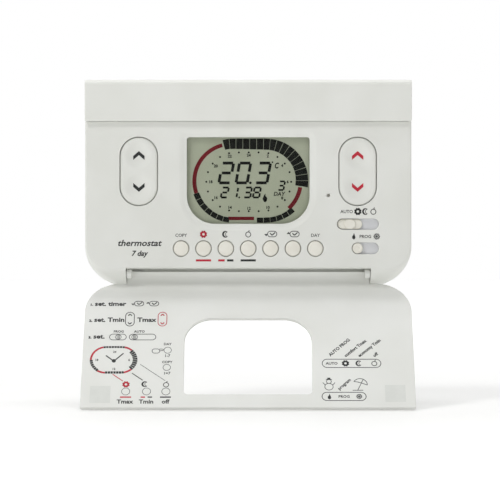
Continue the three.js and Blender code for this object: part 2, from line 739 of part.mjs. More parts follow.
// ---- Flap ------------------------------------------------------------------------------------

// The printed door is moulded in one piece with its tongue, two ears and two pins. It is drawn in
// its closed place and then turned about its pins to where it rests when open.
const flapPivot = new THREE.Group();
flapPivot.position.set(0, HINGE.y, HINGE.z);
flapPivot.rotation.x = THREE.MathUtils.degToRad(HINGE.openDegrees);
thermostat.add(flapPivot);
{
  const { inner, outer, top, bottom, topRadius, cornerRadius, tongueHalf } = FLAP;
  const { halfWidth } = BODY;
  const outline = roundedRect(-halfWidth, halfWidth, bottom, top, [
    topRadius,
    topRadius,
    cornerRadius,
    cornerRadius,
  ]);
  const w = FLAP_WINDOW;
  const opening = roundedRect(-w.half, w.half, w.bottom, w.top, [
    w.topRadius,
    w.topRadius,
    w.bottomRadius,
    w.bottomRadius,
  ]);

  // The tongue carries the door's lower edge round under the hinge line.
  const root = bottom + 1.4;
  const bend = bottom - 0.3;
  const tongue = new THREE.Shape();
  tongue.moveTo(inner, root);
  tongue.lineTo(outer, root);
  tongue.lineTo(outer, bend);
  tongue.quadraticCurveTo(outer + 0.2, bend - 3.4, outer + 3.1, bend - 4.9);
  tongue.lineTo(outer + 4.2, bend - 3.9);
  tongue.quadraticCurveTo(inner + 0.2, bend - 2.7, inner, bend);

  const web = polygon([
    [HINGE.y + 1.24, HINGE.z - 1.3],
    [HINGE.y - 1.24, HINGE.z + 1.3],
    [outer + 2.1, bend - 2],
    [outer + 3.4, bend - 4.4],
  ]);
  const arms = sides((side) => {
    const ear = ordered(side * tongueHalf, side * (tongueHalf - FLAP.earThickness));
    const pin = ordered(side * (tongueHalf - 1), side * (RECESS.half + RECESS.wall - 0.2));
    return join(
      across(web, ear),
      rodX(HINGE.y, HINGE.z, FLAP.earRadius, ear),
      rodX(HINGE.y, HINGE.z, HINGE.pinRadius, pin, 16),
    );
  });
  const door = plate(outline, [inner, outer], 8);
  const solid = join(door, across(tongue, [-tongueHalf, tongueHalf], 5), ...arms);
  const flap = cut(solid, plate(opening, [inner + 1, outer - 1], 8));
  add("flap", flap, cream(), flapPivot).position.set(0, -HINGE.y, -HINGE.z);
}

export default thermostat;
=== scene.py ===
import math

import bmesh
import bpy
from mathutils import Matrix, Vector


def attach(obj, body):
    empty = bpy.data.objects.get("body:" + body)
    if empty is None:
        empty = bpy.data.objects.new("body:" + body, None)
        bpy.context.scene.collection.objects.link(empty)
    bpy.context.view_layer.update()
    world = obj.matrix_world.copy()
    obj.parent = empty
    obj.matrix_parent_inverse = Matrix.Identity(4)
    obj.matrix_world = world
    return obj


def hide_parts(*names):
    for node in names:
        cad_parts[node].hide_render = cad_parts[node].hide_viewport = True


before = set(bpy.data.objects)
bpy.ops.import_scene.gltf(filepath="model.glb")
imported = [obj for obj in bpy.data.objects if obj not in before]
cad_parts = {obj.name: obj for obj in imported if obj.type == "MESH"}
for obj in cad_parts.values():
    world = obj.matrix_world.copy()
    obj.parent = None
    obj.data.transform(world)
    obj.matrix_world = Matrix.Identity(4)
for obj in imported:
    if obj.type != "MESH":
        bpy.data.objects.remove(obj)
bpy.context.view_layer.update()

# ---- Studio ------------------------------------------------------------------------------------
# A white paper sweep and soft light, as for a catalogue picture: bright air behind and dimmer air in
# front, a key lamp high on the left and a broad lamp straight above. The paper also glows: painted
# light that is weakest beside the object, so the floor reads darker round it.
scene = bpy.context.scene
scene.view_settings.view_transform = "Standard"
FLOOR_Z = -0.0923
LOOKING_AT = Vector((0.0, -0.025, -0.025))


def linear(code):
    """The linear colour of an sRGB hex value."""
    parts = [int(code[i : i + 2], 16) / 255 for i in (0, 2, 4)]
    return [c / 12.92 if c <= 0.04045 else ((c + 0.055) / 1.055) ** 2.4 for c in parts] + [1.0]


def add(tree, kind, sockets=(), **settings):
    """Adds one node, with its settings, and its sockets set or linked."""
    made = tree.nodes.new("ShaderNode" + kind)
    for name, value in settings.items():
        setattr(made, name, value)
    for socket, value in dict(sockets).items():
        if isinstance(value, bpy.types.NodeSocket):
            tree.links.new(value, made.inputs[socket])
        else:
            made.inputs[socket].default_value = value
    return made


def blank(name):
    """A new material with an empty node tree."""
    material = bpy.data.materials.new(name)
    material.use_nodes = True
    material.node_tree.nodes.clear()
    return material, material.node_tree


world = bpy.data.worlds.new("white_sweep")
scene.world = world
world.use_nodes = True
world.node_tree.nodes.clear()
air = world.node_tree
toward = add(air, "SeparateXYZ", {"Vector": add(air, "TexCoord").outputs["Generated"]})
rise = add(air, "Math", {0: toward.outputs["Z"]}, operation="ABSOLUTE")
ceiling = add(
    air,
    "MapRange",
    {"Value": rise.outputs[0], "From Min": 0.15, "From Max": 0.7, "To Min": 1.0, "To Max": 0.7},
)
front = add(
    air,
    "MapRange",
    {"Value": toward.outputs["Y"], "From Min": -0.3, "From Max": 0.3, "To Min": 0.44, "To Max": 1.0},
)
bright = add(air, "Math", {0: ceiling.outputs[0], 1: front.outputs[0]}, operation="MULTIPLY")
light = add(air, "Background", {"Color": linear("ffffff"), "Strength": bright.outputs[0]})
add(air, "OutputWorld", {"Surface": light.outputs[0]})

FLOOR_HALF = 4.0
bm = bmesh.new()
level = Matrix.Translation((0, 0, FLOOR_Z))
bmesh.ops.create_grid(bm, x_segments=1, y_segments=1, size=FLOOR_HALF, matrix=level)
floor_mesh = bpy.data.meshes.new("floor")
bm.to_mesh(floor_mesh)
bm.free()
floor = bpy.data.objects.new("floor", floor_mesh)
scene.collection.objects.link(floor)
paper, tree = blank("matt_paper_with_painted_glow")
where = add(tree, "TexCoord").outputs["Object"]
fibre = add(tree, "TexNoise", {"Vector": where, "Scale": 1000 / 40, "Detail": 2})
shade = add(tree, "ValToRGB", {"Fac": fibre.outputs["Fac"]})
shade.color_ramp.elements[0].color = linear("f3f3f2")
shade.color_ramp.elements[1].color = linear("f6f6f5")
sheet = add(tree, "BsdfPrincipled", {"Base Color": shade.outputs["Color"], "Roughness": 0.55})
sheet.inputs["Emission Color"].default_value = linear("ffffff")
away = add(tree, "VectorMath", {0: where}, operation="LENGTH")  # painted light: the paper glows more the farther it is
# Painted light: the paper's own glow rises from 0.04 beside the object to 0.5 far off.
painted_floor_glow = add(
    tree,
    "MapRange",
    {"Value": away.outputs["Value"], "From Min": 0.1, "From Max": 0.9, "To Min": 0.04, "To Max": 0.5},
)
tree.links.new(painted_floor_glow.outputs[0], sheet.inputs["Emission Strength"])
add(tree, "OutputMaterial", {"Surface": sheet.outputs[0]})
floor_mesh.materials.append(paper)

for name, where, size, power in (
    ("lamp_key", (-0.6, -0.75, 0.85), 0.3, 4.6),
    ("lamp_above", (0.05, -0.08, 1.1), 0.5, 4.7),
):
    lamp_data = bpy.data.lights.new(name, "AREA")
    lamp_data.shape = "SQUARE"
    lamp_data.size = size
    lamp_data.energy = power
    lamp = bpy.data.objects.new(name, lamp_data)
    lamp.location = where
    lamp.rotation_euler = (LOOKING_AT - Vector(where)).to_track_quat("-Z", "Y").to_euler()
    scene.collection.objects.link(lamp)

camera_data = bpy.data.cameras.new("camera")
camera_data.lens = 173.7
camera_data.sensor_width = 36
camera_data.clip_start = 0.01
camera = bpy.data.objects.new("camera", camera_data)
camera.location = (0.00456, -1.0254, -0.0278)
camera.rotation_euler = (math.radians(90), 0, math.radians(0.22))
scene.collection.objects.link(camera)
scene.camera = camera

# ---- Wall base ---------------------------------------------------------------------------------
# The flat plate that is screwed over the wall box, injection moulded in plain ABS. It hangs on the
# wall by screws through its four slots. The mould's spark finish gives a fine, dull grain, drawn a
# little coarser than the real one so that it shows.


def surface(name, shades, mottle, grain, relief, rough, stretch=(1, 1, 1), **sockets):
    """A finish whose colour drifts between two shades over mottle mm, with a grain that is that
    many mm across and relief mm high, and a roughness that follows the grain."""
    material, tree = blank(name)
    where = add(tree, "TexCoord").outputs["Object"]
    along = add(tree, "Mapping", {"Vector": where, "Scale": stretch}).outputs[0]
    drift = add(tree, "TexNoise", {"Vector": where, "Scale": 1000 / mottle, "Detail": 2})
    tint = add(tree, "ValToRGB", {"Fac": drift.outputs["Fac"]})
    for stop, at, code in zip(tint.color_ramp.elements, (0.35, 0.65), shades):
        stop.position, stop.color = at, linear(code)
    pits = add(tree, "TexNoise", {"Vector": along, "Scale": 1000 / grain, "Detail": 3})
    sheen = add(tree, "MapRange", {"Value": pits.outputs["Fac"], "To Min": rough[0], "To Max": rough[1]})
    raised = add(tree, "Bump", {"Height": pits.outputs["Fac"], "Distance": relief * 0.001, "Strength": 0.6})
    shader = add(
        tree,
        "BsdfPrincipled",
        {"Base Color": tint.outputs["Color"], "Roughness": sheen.outputs[0], "Normal": raised.outputs[0]},
    )
    for socket, value in sockets.items():
        shader.inputs[socket.replace("_", " ")].default_value = value
    add(tree, "OutputMaterial", {"Surface": shader.outputs[0]})
    return material


def dress(material, slot, *nodes):
    """Gives CAD nodes that keep their own shape their real material."""
    for node in nodes:
        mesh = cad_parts[node].data
        mesh.materials.clear()
        mesh.materials.append(material)


def draft(bm):
    """A bmesh in mm as an object that can still be cut and joined."""
    bmesh.ops.remove_doubles(bm, verts=bm.verts, dist=1e-4)
    bmesh.ops.recalc_face_normals(bm, faces=bm.faces)
    mesh = bpy.data.meshes.new("draft")
    bm.to_mesh(mesh)
    bm.free()
    obj = bpy.data.objects.new("draft", mesh)
    scene.collection.objects.link(obj)
    return obj


def bake(obj):
    """Turns an object's modifiers into its own mesh."""
    shown = obj.evaluated_get(bpy.context.evaluated_depsgraph_get())
    mesh = bpy.data.meshes.new_from_object(shown)
    obj.modifiers.clear()
    obj.data = mesh
    return obj


def soften(obj, width, segments=3, angle=40):
    """Rounds every edge sharper than angle, as a mould's edges are."""
    rounding = obj.modifiers.new("rounding", "BEVEL")
    rounding.width = width
    rounding.segments = segments
    rounding.limit_method = "ANGLE"
    rounding.angle_limit = math.radians(angle)
    rounding.use_clamp_overlap = False
    rounding.miter_outer = "MITER_ARC"
    return bake(obj)


def place(obj, name, body, slot, materials, replaces=(), smooth=38):
    """Brings a finished draft from mm to metres, under its own name, and rides it on its body."""
    obj.name = obj.data.name = name
    obj.data.transform(Matrix.Scale(0.001, 4))
    obj.data.materials.clear()
    for material in materials if isinstance(materials, (list, tuple)) else [materials]:
        obj.data.materials.append(material)
    obj.data.shade_smooth()
    obj.data.set_sharp_from_angle(angle=math.radians(smooth))
    weighted = obj.modifiers.new("flat_faces_stay_flat", "WEIGHTED_NORMAL")
    weighted.keep_sharp = True
    weighted.weight = 60
    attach(obj, body)
    if replaces:
        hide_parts(*([replaces] if isinstance(replaces, str) else replaces))
    return obj


def copied(node):
    """A merged copy of a CAD node's solid, in mm, with its flat faces whole again."""
    bm = bmesh.new()
    bm.from_mesh(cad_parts[node].data)
    bmesh.ops.scale(bm, vec=(1000,) * 3, verts=bm.verts)
    bmesh.ops.remove_doubles(bm, verts=bm.verts, dist=1e-3)
    bmesh.ops.dissolve_limit(bm, angle_limit=math.radians(0.6), verts=bm.verts, edges=bm.edges)
    return draft(bm)


base_abs = surface("abs_base_spark_finish", ("d3d3cd", "d9d9d4"), 18, 0.35, 0.02, (0.5, 0.62), IOR=1.53)
wall_base = soften(copied("wall_base"), 0.2, 2)
place(wall_base, "wall_base_plate", "housing", "base_abs", base_abs, "wall_base")

# ---- Terminals ---------------------------------------------------------------------------------
# A dark glass-filled polyamide block holds three stamped brass clamps with zinc-plated screws.
# Three brass blades on the electronics plug into it. The metals have a fine drawn grain.
block_nylon = surface("glass_filled_polyamide", ("2f3235", "3a3d40"), 4, 0.25, 0.02, (0.45, 0.6), IOR=1.53)
brass = surface(
    "stamped_brass", ("b98f45", "cfa85c"), 6, 0.12, 0.004, (0.24, 0.38), (1, 1, 8), Metallic=1.0
)
zinc_steel = surface(
    "zinc_plated_steel", ("a9adb2", "c6c9cc"), 3, 0.1, 0.004, (0.22, 0.36), (1, 6, 1), Metallic=1.0
)
THREE, FOUR = (1, 2, 3), (1, 2, 3, 4)
dress(block_nylon, "dark_abs", "terminal_block")
dress(brass, "brass", *(f"terminal_clamp_{i}" for i in THREE), *(f"contact_blade_{i}" for i in THREE))
dress(zinc_steel, "steel", *(f"terminal_screw_{i}" for i in THREE), "base_screw")
dress(zinc_steel, "steel", *(f"housing_screw_{i}" for i in FOUR), "board_screw_1", "board_screw_2")

# ---- Rear shell --------------------------------------------------------------------------------
# The deep tray behind the electronics, moulded in the same cream ABS as the front: a soft, even
# sheen over a spark grain, drawn coarser than the real one so that it shows. Its skirt hides the
# wall base, and slots in its top and bottom let the room's air past the sensor.
HALF_WIDTH, TOP, BOTTOM, CORNER = 67.5, 42.5, -43.2, 16.8
FRONT, SPLIT = -28.3, -16.3
CURVE_Z, CURVE_DEPTH = 8.7, 18.3
SIDE_FILLET = 1.0
PANEL_TOP = 25.28


def outline(bm, x0, x1, z0, z1, radii, y, steps, cuts=0):
    """A flat face with its own radius at each corner, from the top left clockwise, and its long
    sides in cuts + 1 stretches."""
    corners = [bm.verts.new((x, y, z)) for x, z in ((x0, z1), (x1, z1), (x1, z0), (x0, z0))]
    bm.faces.new(corners)
    for corner, radius in zip(corners, radii):
        if radius > 0:
            bmesh.ops.bevel(
                bm,
                geom=[corner],
                offset=radius,
                offset_type="OFFSET",
                segments=steps,
                profile=0.5,
                material=-1,
                affect="VERTICES",
            )
    bmesh.ops.remove_doubles(bm, verts=[v for v in bm.verts if v.is_valid], dist=3e-3)
    if cuts:
        for side in [e for e in bm.edges if e.calc_length() > 5]:
            near, far = side.verts
            for left in range(cuts, 0, -1):
                near = bmesh.utils.edge_split(side, near, 1 / (left + 1))[1]
                side = next(e for e in near.link_edges if far in e.verts)
    return next(f for f in bm.faces if abs(f.calc_center_median().y - y) < 1e-6 and len(f.verts) > 3)


def loft(sides, radii, rings, steps=12, cuts=0):
    """A closed form through rings of (y, offset): the outline moved out by offset at that y. A ring
    may be a function of the way that a point of the outline faces."""
    x0, x1, z0, z1 = sides
    bm = bmesh.new()
    face = outline(bm, x0, x1, z0, z1, radii, 0, steps, cuts)
    top_left, top_right, bottom_right, bottom_left = radii
    starts = {}
    for v in face.verts:
        left, high = v.co.x < (x0 + x1) / 2, v.co.z > (z0 + z1) / 2
        r = (top_left if left else top_right) if high else (bottom_left if left else bottom_right)
        centre = Vector(((x0 + r) if left else (x1 - r), 0, (z1 - r) if high else (z0 + r)))
        reach = v.co - centre
        if (reach.x < 0) != left:
            reach.x = 0
        if (reach.z > 0) != high:
            reach.z = 0
        way = reach.normalized() if r > 0 else Vector((-1 if left else 1, 0, 0))
        starts[tuple(round(c, 4) for c in v.co)] = (v.co.copy(), way)
    ordered = [starts[tuple(round(c, 4) for c in v.co)] for v in face.verts]
    for index, ring in enumerate(rings):
        if index:
            match = {tuple(round(c, 5) for c in v.co): start for v, start in zip(face.verts, ordered)}
            made = bmesh.ops.extrude_face_region(bm, geom=[face])["geom"]
            new = next(g for g in made if isinstance(g, bmesh.types.BMFace))
            if index > 1:
                bmesh.ops.delete(bm, geom=[face], context="FACES_ONLY")
            ordered = [match[tuple(round(c, 5) for c in v.co)] for v in new.verts]
            face = new
        for v, (start, way) in zip(face.verts, ordered):
            y, offset = ring(way) if callable(ring) else ring
            v.co = start + way * offset
            v.co.y = y
    return bm


def body_form(inset, top, rear, front):
    """The body's outer form moved in by inset, from y rear to y front, or to its face. The edge of
    its face is rounded narrowly at the sides and sweeps out to a deep curve along the bottom."""
    side = max(SIDE_FILLET - inset, 0.2)
    wide, deep = CURVE_Z - inset, CURVE_DEPTH - inset
    face = FRONT + inset

    def ring(turn):
        def at(way):
            share = max(0.0, -way.z)
            share = math.asin(min(share, 1.0)) / (math.pi / 2)
            share = share * share * (3 - 2 * share)
            across = side + (wide - side) * share
            along = side + (deep - side) * share
            return face + along * (1 - math.sin(turn)), -across * (1 - math.cos(turn))

        return at

    count = 14
    rings = [(5.0, 0.0)] + [ring(math.pi / 2 * i / count) for i in range(count + 1)]
    r = CORNER - inset
    half = HALF_WIDTH - inset
    bm = loft((-half, half, BOTTOM + inset, top), (0, 0, r, r), rings, 20)
    for y, way in ((rear, 1), (front, -1)):
        if y is None:
            continue
        everything = bm.verts[:] + bm.edges[:] + bm.faces[:]
        bmesh.ops.bisect_plane(
            bm, geom=everything, plane_co=(0, y, 0), plane_no=(0, way, 0), clear_outer=True
        )
        bmesh.ops.holes_fill(bm, edges=[e for e in bm.edges if e.is_boundary], sides=0)
    return bm


def combine(obj, form, operation="DIFFERENCE"):
    """Cuts a form or another draft out of a draft, or joins it on."""
    other = form if isinstance(form, bpy.types.Object) else draft(form)
    change = obj.modifiers.new("combine", "BOOLEAN")
    change.operation = operation
    change.solver = "EXACT"
    change.object = other
    bake(obj)
    bpy.data.objects.remove(other)
    return obj


def box(bm, x, y, z):
    """Adds a box between two values of x, y and z."""
    middle = [(a + b) / 2 for a, b in (x, y, z)]
    size = [abs(b - a) for a, b in (x, y, z)]
    where = Matrix.Translation(middle) @ Matrix.Diagonal((*size, 1))
    bmesh.ops.create_cube(bm, size=1, matrix=where)
    return bm


def rod(bm, x, y, z, radius, sides=32):
    """Adds a round rod. One of x, y and z is the pair of values that it runs between."""
    axis = next(i for i, place in enumerate((x, y, z)) if isinstance(place, tuple))
    ends = (x, y, z)[axis]
    middle = [sum(ends) / 2 if i == axis else place for i, place in enumerate((x, y, z))]
    turn = Matrix.Rotation(math.pi / 2, 4, "YX"[axis]) if axis < 2 else Matrix.Identity(4)
    bmesh.ops.create_cone(
        bm,
        cap_ends=True,
        segments=sides,
        radius1=radius,
        radius2=radius,
        depth=abs(ends[1] - ends[0]),
        matrix=Matrix.Translation(middle) @ turn,
    )
    return bm


cream_abs = surface(
    "abs_cream_fine_spark", ("e1e2dc", "e6e7e2"), 22, 0.3, 0.012, (0.4, 0.52), IOR=1.53
)
GAP, SHELL_WALL, SHELL_REAR, SHELL_FLOOR = 0.3, 1.6, -1.0, (-12.2, -13.8)
VENT_ROW, VENT_PITCH, VENT_WIDTH, VENT_Y = 12, 5, 2, (-6.5, -11.5)
LOCK_Y, LOCK_BOSS, LOCK_HEAD, LOCK_SHANK = -6, 3.4, 2.6, 1.5
HOUSING_SCREWS = ((-62, 19), (62, 19), (-59.5, -35), (59.5, -35))
BLADES_X = (-10, 0, 10)
shell = draft(body_form(0, TOP, SHELL_REAR, SPLIT + GAP))
combine(shell, body_form(SHELL_WALL, TOP - SHELL_WALL, None, SHELL_FLOOR[0]))
combine(shell, body_form(SHELL_WALL, TOP - SHELL_WALL, SHELL_FLOOR[1], None))
combine(shell, rod(bmesh.new(), 0, LOCK_Y, (-42.5, -40.2), LOCK_BOSS), "UNION")
vents = bmesh.new()
for side in (-1, 1):
    for i in range(6):
        x = side * (VENT_ROW + VENT_PITCH * i)
        wide = (x - VENT_WIDTH / 2, x + VENT_WIDTH / 2)
        box(vents, wide, VENT_Y, (TOP - 3, TOP + 1))
        box(vents, wide, VENT_Y, (BOTTOM - 1, BOTTOM + 3))
rod(vents, 0, LOCK_Y, (BOTTOM - 1.2, BOTTOM + 1.2), LOCK_HEAD)
combine(shell, vents)
combine(shell, rod(bmesh.new(), 0, LOCK_Y, (-43, -39), LOCK_SHANK))
holes = bmesh.new()
for x, z in HOUSING_SCREWS:
    rod(holes, x, (-11, -15), z, 1.5)
for x in BLADES_X:
    box(holes, (x - 0.8, x + 0.8), (-11, -15), (7.2, 11.8))
combine(shell, holes)
ledges = bmesh.new()
for side in (-1, 1):
    box(ledges, sorted((side * 32.5, side * 37.5)), (-5.4, -3), (39.2, TOP - 1))
combine(shell, ledges, "UNION")
soften(shell, 0.25, 2)
place(shell, "rear_tray", "housing", "cream_abs", cream_abs, "rear_shell")

# ---- Board and parts ---------------------------------------------------------------------------
# The glass-epoxy board under green solder mask, through which its copper runs show paler. The
# relay, the microcontroller, the crystal, the storage capacitor in its blue sleeve, the resin
# bead of the room sensor and the three slide and push switches are soldered on.
board_mask, tree = blank("solder_mask_on_glass_epoxy")
where = add(tree, "TexCoord").outputs["Object"]
flat = add(tree, "Mapping", {"Vector": where, "Scale": (1, 0, 1)}).outputs[0]
BOARD_FIELD = 12  # mm between the copper runs that show under the mask
tracks = add(tree, "TexBrick", {"Vector": flat, "Scale": 1000 / BOARD_FIELD, "Mortar Size": 0.03})
tracks.inputs["Bias"].default_value = 0.0
tracks.inputs["Color1"].default_value = linear("28603c")
tracks.inputs["Color2"].default_value = linear("2b6741")
tracks.inputs["Mortar"].default_value = linear("3c7d51")
copper = add(tree, "Bump", {"Height": tracks.outputs["Fac"], "Distance": 0.00004, "Strength": 0.5})
mask = add(tree, "BsdfPrincipled", {"Base Color": tracks.outputs["Color"], "Normal": copper.outputs[0]})
mask.inputs["Roughness"].default_value = 0.34
add(tree, "OutputMaterial", {"Surface": mask.outputs[0]})
dark_abs = surface("pbt_dark_case", ("212427", "2b2e31"), 5, 0.3, 0.02, (0.4, 0.55), IOR=1.57)
sleeve = surface("pvc_shrink_sleeve", ("26304a", "2e3956"), 5, 0.5, 0.01, (0.26, 0.36), IOR=1.53)
resin = surface("dipped_epoxy_bead", ("51422a", "644f33"), 1.5, 0.4, 0.02, (0.3, 0.42), IOR=1.55)
dress(board_mask, "board_laminate", "main_board")
dress(dark_abs, "dark_abs", "relay", "microcontroller")
dress(dark_abs, "dark_abs", *(f"{name}_switch_body" for name in ("mode", "season", "reset")))
dress(zinc_steel, "steel", "quartz_crystal")
dress(sleeve, "capacitor_sleeve", "storage_capacitor")
dress(resin, "sensor_resin", "temperature_sensor")

# ---- Keypad mat --------------------------------------------------------------------------------
# One sheet of moulded grey silicone rubber under every key, with a dome for each contact. The keys
# press on its domes.
silicone = surface("silicone_rubber", ("868b8f", "92979a"), 6, 0.4, 0.02, (0.6, 0.75), IOR=1.41)
dress(silicone, "keypad_silicone", "keypad_mat")

# ---- Liquid crystal display --------------------------------------------------------------------
# A glass cell with a grey-green reflector and a soft, low shine, held in a moulded frame on two
# layered rubber strips. Its lit segments are thin dark and red shapes just inside the glass. The
# inks that print the panels and keys start here: even, and as dull as the plastic under them.
frame_abs = surface("abs_frame_natural", ("d3d3cc", "dcdcd6"), 9, 0.3, 0.02, (0.5, 0.62), IOR=1.53)
zebra = surface("layered_silicone_strip", ("2d2d31", "46464c"), 0.8, 0.3, 0.02, (0.6, 0.8), (8, 1, 1))
dress(frame_abs, "frame_abs", "lcd_frame")
dress(zebra, "zebra_rubber", "zebra_upper", "zebra_lower")
lcd_cell = surface(
    "lcd_glass_grey_reflector",
    ("c3c7b1", "cacdb9"),
    26,
    0.6,
    0.003,
    (0.32, 0.42),
    IOR=1.52,
    Specular_IOR_Level=0.2,
)
dress(lcd_cell, "lcd_glass", "lcd_glass")

LCD_FRONT = -24.92
LCD_FACE = Matrix(((1, 0, 0, 0), (0, 0, -1, LCD_FRONT), (0, 1, 0, 0), (0, 0, 0, 1)))
dark_ink = surface("printed_black_ink", ("171a19", "222524"), 2, 0.3, 0.004, (0.42, 0.56))
red_ink = surface("printed_red_ink", ("b4122c", "c31a33"), 2, 0.3, 0.004, (0.42, 0.56))
lcd_dark = surface(
    "liquid_crystal_dark", ("0d100b", "141711"), 5, 0.5, 0.002, (0.5, 0.6), Specular_IOR_Level=0.1
)
lcd_red = surface(
    "liquid_crystal_red", ("7a1823", "86202b"), 5, 0.5, 0.002, (0.5, 0.6), Specular_IOR_Level=0.1
)


def stroke(bm, a, b, width, level=0.0):
    """Adds a straight printed line from a to b."""
    a, b = Vector(a), Vector(b)
    way = b - a
    where = (
        Matrix.Translation(((a.x + b.x) / 2, (a.y + b.y) / 2, level))
        @ Matrix.Rotation(math.atan2(way.y, way.x), 4, "Z")
        @ Matrix.Diagonal((way.length, width, 1, 1))
    )
    bmesh.ops.create_grid(bm, x_segments=1, y_segments=1, size=0.5, matrix=where)


def line(bm, points, width):
    """Adds a printed line through points, each stretch lapping over the last."""
    for i, (a, b) in enumerate(zip(points, points[1:])):
        stroke(bm, a, b, width, 0.006 * (i % 2))


def arc(bm, x, y, radius, start, end, width, steps=10):
    """Adds a printed arc between two angles in degrees. A function gives a width that changes."""
    for i in range(steps):
        turns = [math.radians(start + (end - start) * t / steps) for t in (i, i + 1.08)]
        a, b = [(x + radius * math.cos(t), y + radius * math.sin(t)) for t in turns]
        wide = width((i + 0.5) / steps) if callable(width) else width
        stroke(bm, a, b, wide, 0.006 * (i % 2))


def disc(bm, x, y, radius, sides=16):
    """Adds a printed dot."""
    where = Matrix.Translation((x, y, 0))
    bmesh.ops.create_circle(bm, cap_ends=True, segments=sides, radius=radius, matrix=where)


def gather(whole, part):
    """Adds one bmesh to another."""
    mesh = bpy.data.meshes.new("part")
    part.to_mesh(mesh)
    part.free()
    whole.from_mesh(mesh)
    bpy.data.meshes.remove(mesh)


def rounded_ring(bm, x, y, width, height, thick, steps=8):
    """Adds a printed pill or circle outline."""
    part = bmesh.new()
    r = min(width, height) / 2 * 0.9999
    w, h = width / 2, height / 2
    outline(part, -w, w, -h, h, (r,) * 4, 0, steps)
    bmesh.ops.rotate(part, verts=part.verts, matrix=Matrix.Rotation(-math.pi / 2, 3, "X"))
    bmesh.ops.translate(part, verts=part.verts, vec=(x, y, 0))
    inner = part.faces[:]
    bmesh.ops.inset_region(part, faces=inner, thickness=thick, use_even_offset=True, use_boundary=True)
    bmesh.ops.delete(part, geom=[f for f in inner if f.is_valid], context="FACES_ONLY")
    gather(bm, part)


def words(bm, text, x, y, size, align="CENTER", turn=0.0, bold=0.0, lean=0.0, stretch=1.0):
    """Adds lettering, with its baseline's start, middle or end at x, y and capitals of that size."""
    data = bpy.data.curves.new("words", "FONT")
    data.body = text
    data.size = size * 1.37  # the font's capitals are 0.73 of its size
    data.align_x = align
    data.shear = lean
    data.offset = bold
    data.resolution_u = 2
    obj = bpy.data.objects.new("words", data)
    scene.collection.objects.link(obj)
    shown = obj.evaluated_get(bpy.context.evaluated_depsgraph_get())
    mesh = bpy.data.meshes.new_from_object(shown)
    where = Matrix.Translation((x, y, 0)) @ Matrix.Rotation(math.radians(turn), 4, "Z")
    mesh.transform(where @ Matrix.Diagonal((stretch, 1, 1, 1)))
    bm.from_mesh(mesh)
    bpy.data.objects.remove(obj)
    bpy.data.meshes.remove(mesh)


def printed(bm, name, where, material, body, slot, thick=0.03):
    """Gives flat shapes their film thickness and lays them on a face of the object."""
    bmesh.ops.dissolve_degenerate(bm, dist=1e-5, edges=bm.edges)
    bmesh.ops.recalc_face_normals(bm, faces=bm.faces)
    for face in bm.faces:
        if face.normal.z < 0:
            face.normal_flip()
    made = bmesh.ops.extrude_face_region(bm, geom=bm.faces[:], use_keep_orig=True)["geom"]
    raised = [g for g in made if isinstance(g, bmesh.types.BMVert)]
    bmesh.ops.translate(bm, verts=raised, vec=(0, 0, thick))
    bmesh.ops.transform(bm, matrix=where, verts=bm.verts)
    bmesh.ops.recalc_face_normals(bm, faces=bm.faces)
    mesh = bpy.data.meshes.new("print")
    bm.to_mesh(mesh)
    bm.free()
    obj = bpy.data.objects.new("print", mesh)
    scene.collection.objects.link(obj)
    return place(obj, name, body, slot, material)


DIGITS = {"0": "abcdef", "1": "bc", "2": "abged", "3": "abgcd", "8": "abcdefg"}


def digit(bm, figure, x, y, width, height, thick, lean=0.18):
    """Adds a seven-segment figure, with its lower left corner at x, y, leaning to the right."""
    short, half = thick * 0.15, thick * 0.42
    top, mid, low = height, height / 2, 0.0
    ends = {
        "a": ((short, top), (width - short, top)),
        "b": ((width, top - short), (width, mid + half)),
        "c": ((width, mid - half), (width, low + short)),
        "d": ((short, low), (width - short, low)),
        "e": ((0, mid - half), (0, low + short)),
        "f": ((0, top - short), (0, mid + half)),
        "g": ((half, mid), (width - half, mid)),
    }
    for part in DIGITS[figure]:
        (ax, ay), (bx, by) = ends[part]
        a, b = (x + ax + lean * ay, y + ay), (x + bx + lean * by, y + by)
        stroke(bm, a, b, thick)


# The ring of half-hour segments round the display, the thin red ring and the ring of hour dots, and
# the first and last segment of each stretch with its depth in mm at both ends.
RING = {"left": -23.7, "right": 24.9, "top": 18.4, "bottom": -16.5}
SEGMENTS = 48
RED_RING = {"left": -23.2, "right": 22.6, "top": 16.9, "bottom": -15.4}
DOT_RING = {"left": -17.4, "right": 17.8, "top": 12.65, "bottom": -11.7}
DARK_STRETCHES = ((-4, 13, 4.2, 5.3), (17, 23, 2.3, 2.1), (27, 34, 2.1, 2.5))
RED_STRETCHES = ((13, 17, 1.7, 1.7), (23, 27, 1.4, 1.4), (34, 44, 1.7, 1.6))


def ring_point(share, ring=RING):
    """A point on a ring's outer edge and the way out of it, clockwise from the top middle."""
    r = (ring["top"] - ring["bottom"]) / 2
    straight = ring["right"] - ring["left"] - 2 * r
    centre = Vector(((ring["left"] + ring["right"]) / 2, (ring["top"] + ring["bottom"]) / 2))
    half_way = straight + math.pi * r
    along = (share % 1.0) * 2 * half_way
    side = 1 if along < half_way else -1  # the left half is the right half turned about the centre
    along %= half_way
    if along < straight / 2:
        spot, way = Vector((along, r)), Vector((0, 1))
    elif along < straight / 2 + math.pi * r:
        turn = math.pi / 2 - (along - straight / 2) / r
        way = Vector((math.cos(turn), math.sin(turn)))
        spot = Vector((straight / 2, 0)) + way * r
    else:
        spot, way = Vector((half_way - along, -r)), Vector((0, -1))
    return centre + spot * side, way * side


def segments(bm, ring, first, last, deep, gap, parts=1):
    """Adds a stretch of ring segments, whose depth changes evenly from end to end."""
    for i in range(first * parts, last * parts):
        depth = deep[0] + (deep[1] - deep[0]) * (i / parts - first) / (last - first)
        corners = bmesh.ops.create_grid(bm, x_segments=1, y_segments=1, size=0.5)["verts"]
        for v in corners:
            edge, out = ring_point((i + (1 - gap if v.co.x > 0 else gap)) / (SEGMENTS * parts), ring)
            v.co = (*(edge - out * (0 if v.co.y > 0 else depth)), 0)


